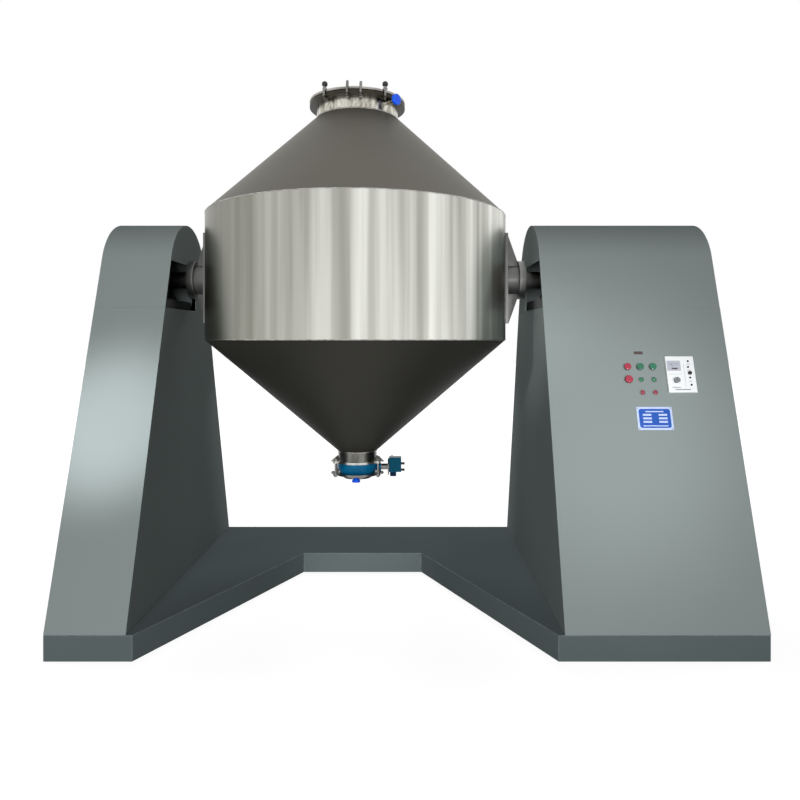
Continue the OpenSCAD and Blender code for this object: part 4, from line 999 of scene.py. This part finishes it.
# %% The plate's field, cells and screws
PLATE = (411, 786)
FIELD = (124, 76)
SCREW_AT = (65, 41)
SCREW_FOOT_R, SCREW_TOP_R, SCREW_H, SCREW_OUT = 3.2 * MM, 2.2 * MM, 1.4 * MM, 0.5 * MM
plate_out = face_height("nameplate")
tiles("plate_field", [PLATE + FIELD], plate_out, "nameplate", plate_blue)
cell_rows = [(PLATE[0], PLATE[1] + 27, 72, 4.5), (PLATE[0], PLATE[1] - 30, 98, 4)]
for column in (-30, 32):
    for row in (-14, 0, 14):
        cell_rows.append((PLATE[0] + column, PLATE[1] + row, 34, 7.5))
tiles("plate_cells", cell_rows, plate_out + PRINT_UP, "nameplate", plate_pale)
screw_work = bmesh.new()
for side in (-1, 1):
    for end in (-1, 1):
        across, up = PLATE[0] + side * SCREW_AT[0], PLATE[1] + end * SCREW_AT[1]
        bmesh.ops.create_cone(
            screw_work, cap_ends=True, segments=24, radius1=SCREW_FOOT_R, radius2=SCREW_TOP_R,
            depth=SCREW_H, matrix=on_face(across, up, plate_out + SCREW_OUT),
        )
plate_screws = attach(finish_mesh(screw_work, "plate_screws"), "nameplate", zinc_steel)
print("plate field, cells and", plate_screws.name)

# %% [markdown]
# The floor. A plain white one would send so much light back up that the lower cone would turn
# pale. So it is white to the camera and to mirrors, and dark grey to everything else. To the
# camera it glows a little less near the machine, so that the machine's own shadow shows there,
# and from some metres away it is even white.

# %% Floor
FLOOR_SIDE = 60
GLOW = 1.22
NEAR, FAR, NEAR_SHARE = 2.2, 6.0, 0.72
FLOOR_DARK, FLOOR_PALE = 0.22, 0.90


def make_floor():
    bpy.ops.mesh.primitive_plane_add(size=FLOOR_SIDE)
    floor = bpy.context.object
    floor.name = "floor"
    material, tree, shader = start_material("floor_white", Roughness=0.9, Specular_IOR_Level=0.0)
    rays = add(tree, "ShaderNodeLightPath")
    glow = add(tree, "ShaderNodeEmission", {"Color": (1, 1, 1, 1), "Strength": GLOW})
    seen = add(tree, "ShaderNodeMath", operation="MAXIMUM")
    mix = add(tree, "ShaderNodeMixShader")
    place = add(tree, "ShaderNodeTexCoord")
    away = add(tree, "ShaderNodeVectorMath", operation="LENGTH")
    share = add(tree, "ShaderNodeMapRange", {
        "From Min": NEAR, "From Max": FAR, "To Min": NEAR_SHARE, "To Max": 1.0,
    })
    tone = add(tree, "ShaderNodeMapRange", {"To Min": FLOOR_DARK, "To Max": FLOOR_PALE})
    glowing = add(tree, "ShaderNodeMath", operation="MULTIPLY")
    wire(tree, place, "Object", away, "Vector")
    wire(tree, away, "Value", share, "Value")
    wire(tree, rays, "Is Camera Ray", tone, "Value")
    wire(tree, tone, "Result", shader, "Base Color")
    tree.links.new(share.outputs["Result"], glowing.inputs[1])
    out = tree.nodes["Material Output"]
    tree.links.new(rays.outputs["Is Camera Ray"], seen.inputs[0])
    tree.links.new(rays.outputs["Is Glossy Ray"], seen.inputs[1])
    tree.links.new(seen.outputs["Value"], glowing.inputs[0])
    tree.links.new(glowing.outputs["Value"], mix.inputs["Fac"])
    tree.links.new(shader.outputs["BSDF"], mix.inputs[1])
    tree.links.new(glow.outputs["Emission"], mix.inputs[2])
    tree.links.new(mix.outputs["Shader"], out.inputs["Surface"])
    floor.data.materials.append(material)
    return floor


floor = make_floor()
print("floor", floor.name)

# %% [markdown]
# The light. A bright world alone would leave the sheet flat and grey. So the world is white
# only to the camera and to mirrors, and one wide lamp in front gives the stands their even
# tone. Four narrow lamps make the bright patches that the photograph has on the left stand,
# the right stand, its inner side and the beam. Three wide ones light the back and the sides.
# The wide lamps don't show in polished steel, where they would be hard white squares.

# %% World and lamps
WORLD_FILL = 0.065


def make_world():
    world = bpy.data.worlds.new("studio")
    bpy.context.scene.world = world
    world.use_nodes = True
    tree = world.node_tree
    background = tree.nodes["Background"]
    rays = add(tree, "ShaderNodeLightPath")
    seen = add(tree, "ShaderNodeMath", operation="MAXIMUM")
    through = add(tree, "ShaderNodeMath", operation="MAXIMUM")
    level = add(tree, "ShaderNodeMapRange", {"To Min": WORLD_FILL, "To Max": 1.0})
    background.inputs["Color"].default_value = (1, 1, 1, 1)
    tree.links.new(rays.outputs["Is Camera Ray"], seen.inputs[0])
    tree.links.new(rays.outputs["Is Glossy Ray"], seen.inputs[1])
    tree.links.new(seen.outputs["Value"], through.inputs[0])
    tree.links.new(rays.outputs["Is Transmission Ray"], through.inputs[1])
    tree.links.new(through.outputs["Value"], level.inputs["Value"])
    tree.links.new(level.outputs["Result"], background.inputs["Strength"])


def place_lamp(name, data, at, aim):
    lamp = link(name, data)
    lamp.location = at
    lamp.rotation_euler = (Vector(aim) - Vector(at)).to_track_quat("-Z", "Y").to_euler()
    return lamp


def soft_lamp(name, at, aim, width, height, watts):
    data = bpy.data.lights.new(name, "AREA")
    data.shape = "RECTANGLE"
    data.size, data.size_y, data.energy = width, height, watts
    place_lamp(name, data, at, aim).visible_glossy = False


def spot_lamp(name, at, aim, degrees, watts, radius=0.1):
    data = bpy.data.lights.new(name, "SPOT")
    data.spot_size, data.spot_blend = radians(degrees), 1.0
    data.shadow_soft_size, data.energy = radius, watts
    place_lamp(name, data, at, aim)


make_world()
soft_lamp("front_lamp", (-0.42, -5.6, 1.5), (-0.2, 0, 0.9), 2.4, 1.6, 308)
spot_lamp("left_key", (-2.4, -4.2, 0.9), (-1.168, -0.462, 0.820), 11, 1010)
spot_lamp("right_key", (1.9, -4.4, 1.2), (0.78, -0.46, 0.80), 20, 380, 0.25)
spot_lamp("inner_key", (-2.6, -4.0, 2.2), (0.565, -0.15, 1.14), 8, 300)
spot_lamp("beam_key", (-0.22, -4.4, 0.5), (-0.22, 0.23, 0.05), 11, 460)
soft_lamp("back_lamp", (-0.22, 3.6, 5.0), (-0.22, 0, 0.8), 2.0, 2.0, 160)
for side, reach in (("left", -6.0), ("right", 6.0)):
    soft_lamp(side + "_side_lamp", (reach, 0.5, 1.2), (0, 0, 0.9), 1.6, 1.6, 110)
bpy.context.scene.view_settings.view_transform = "Standard"
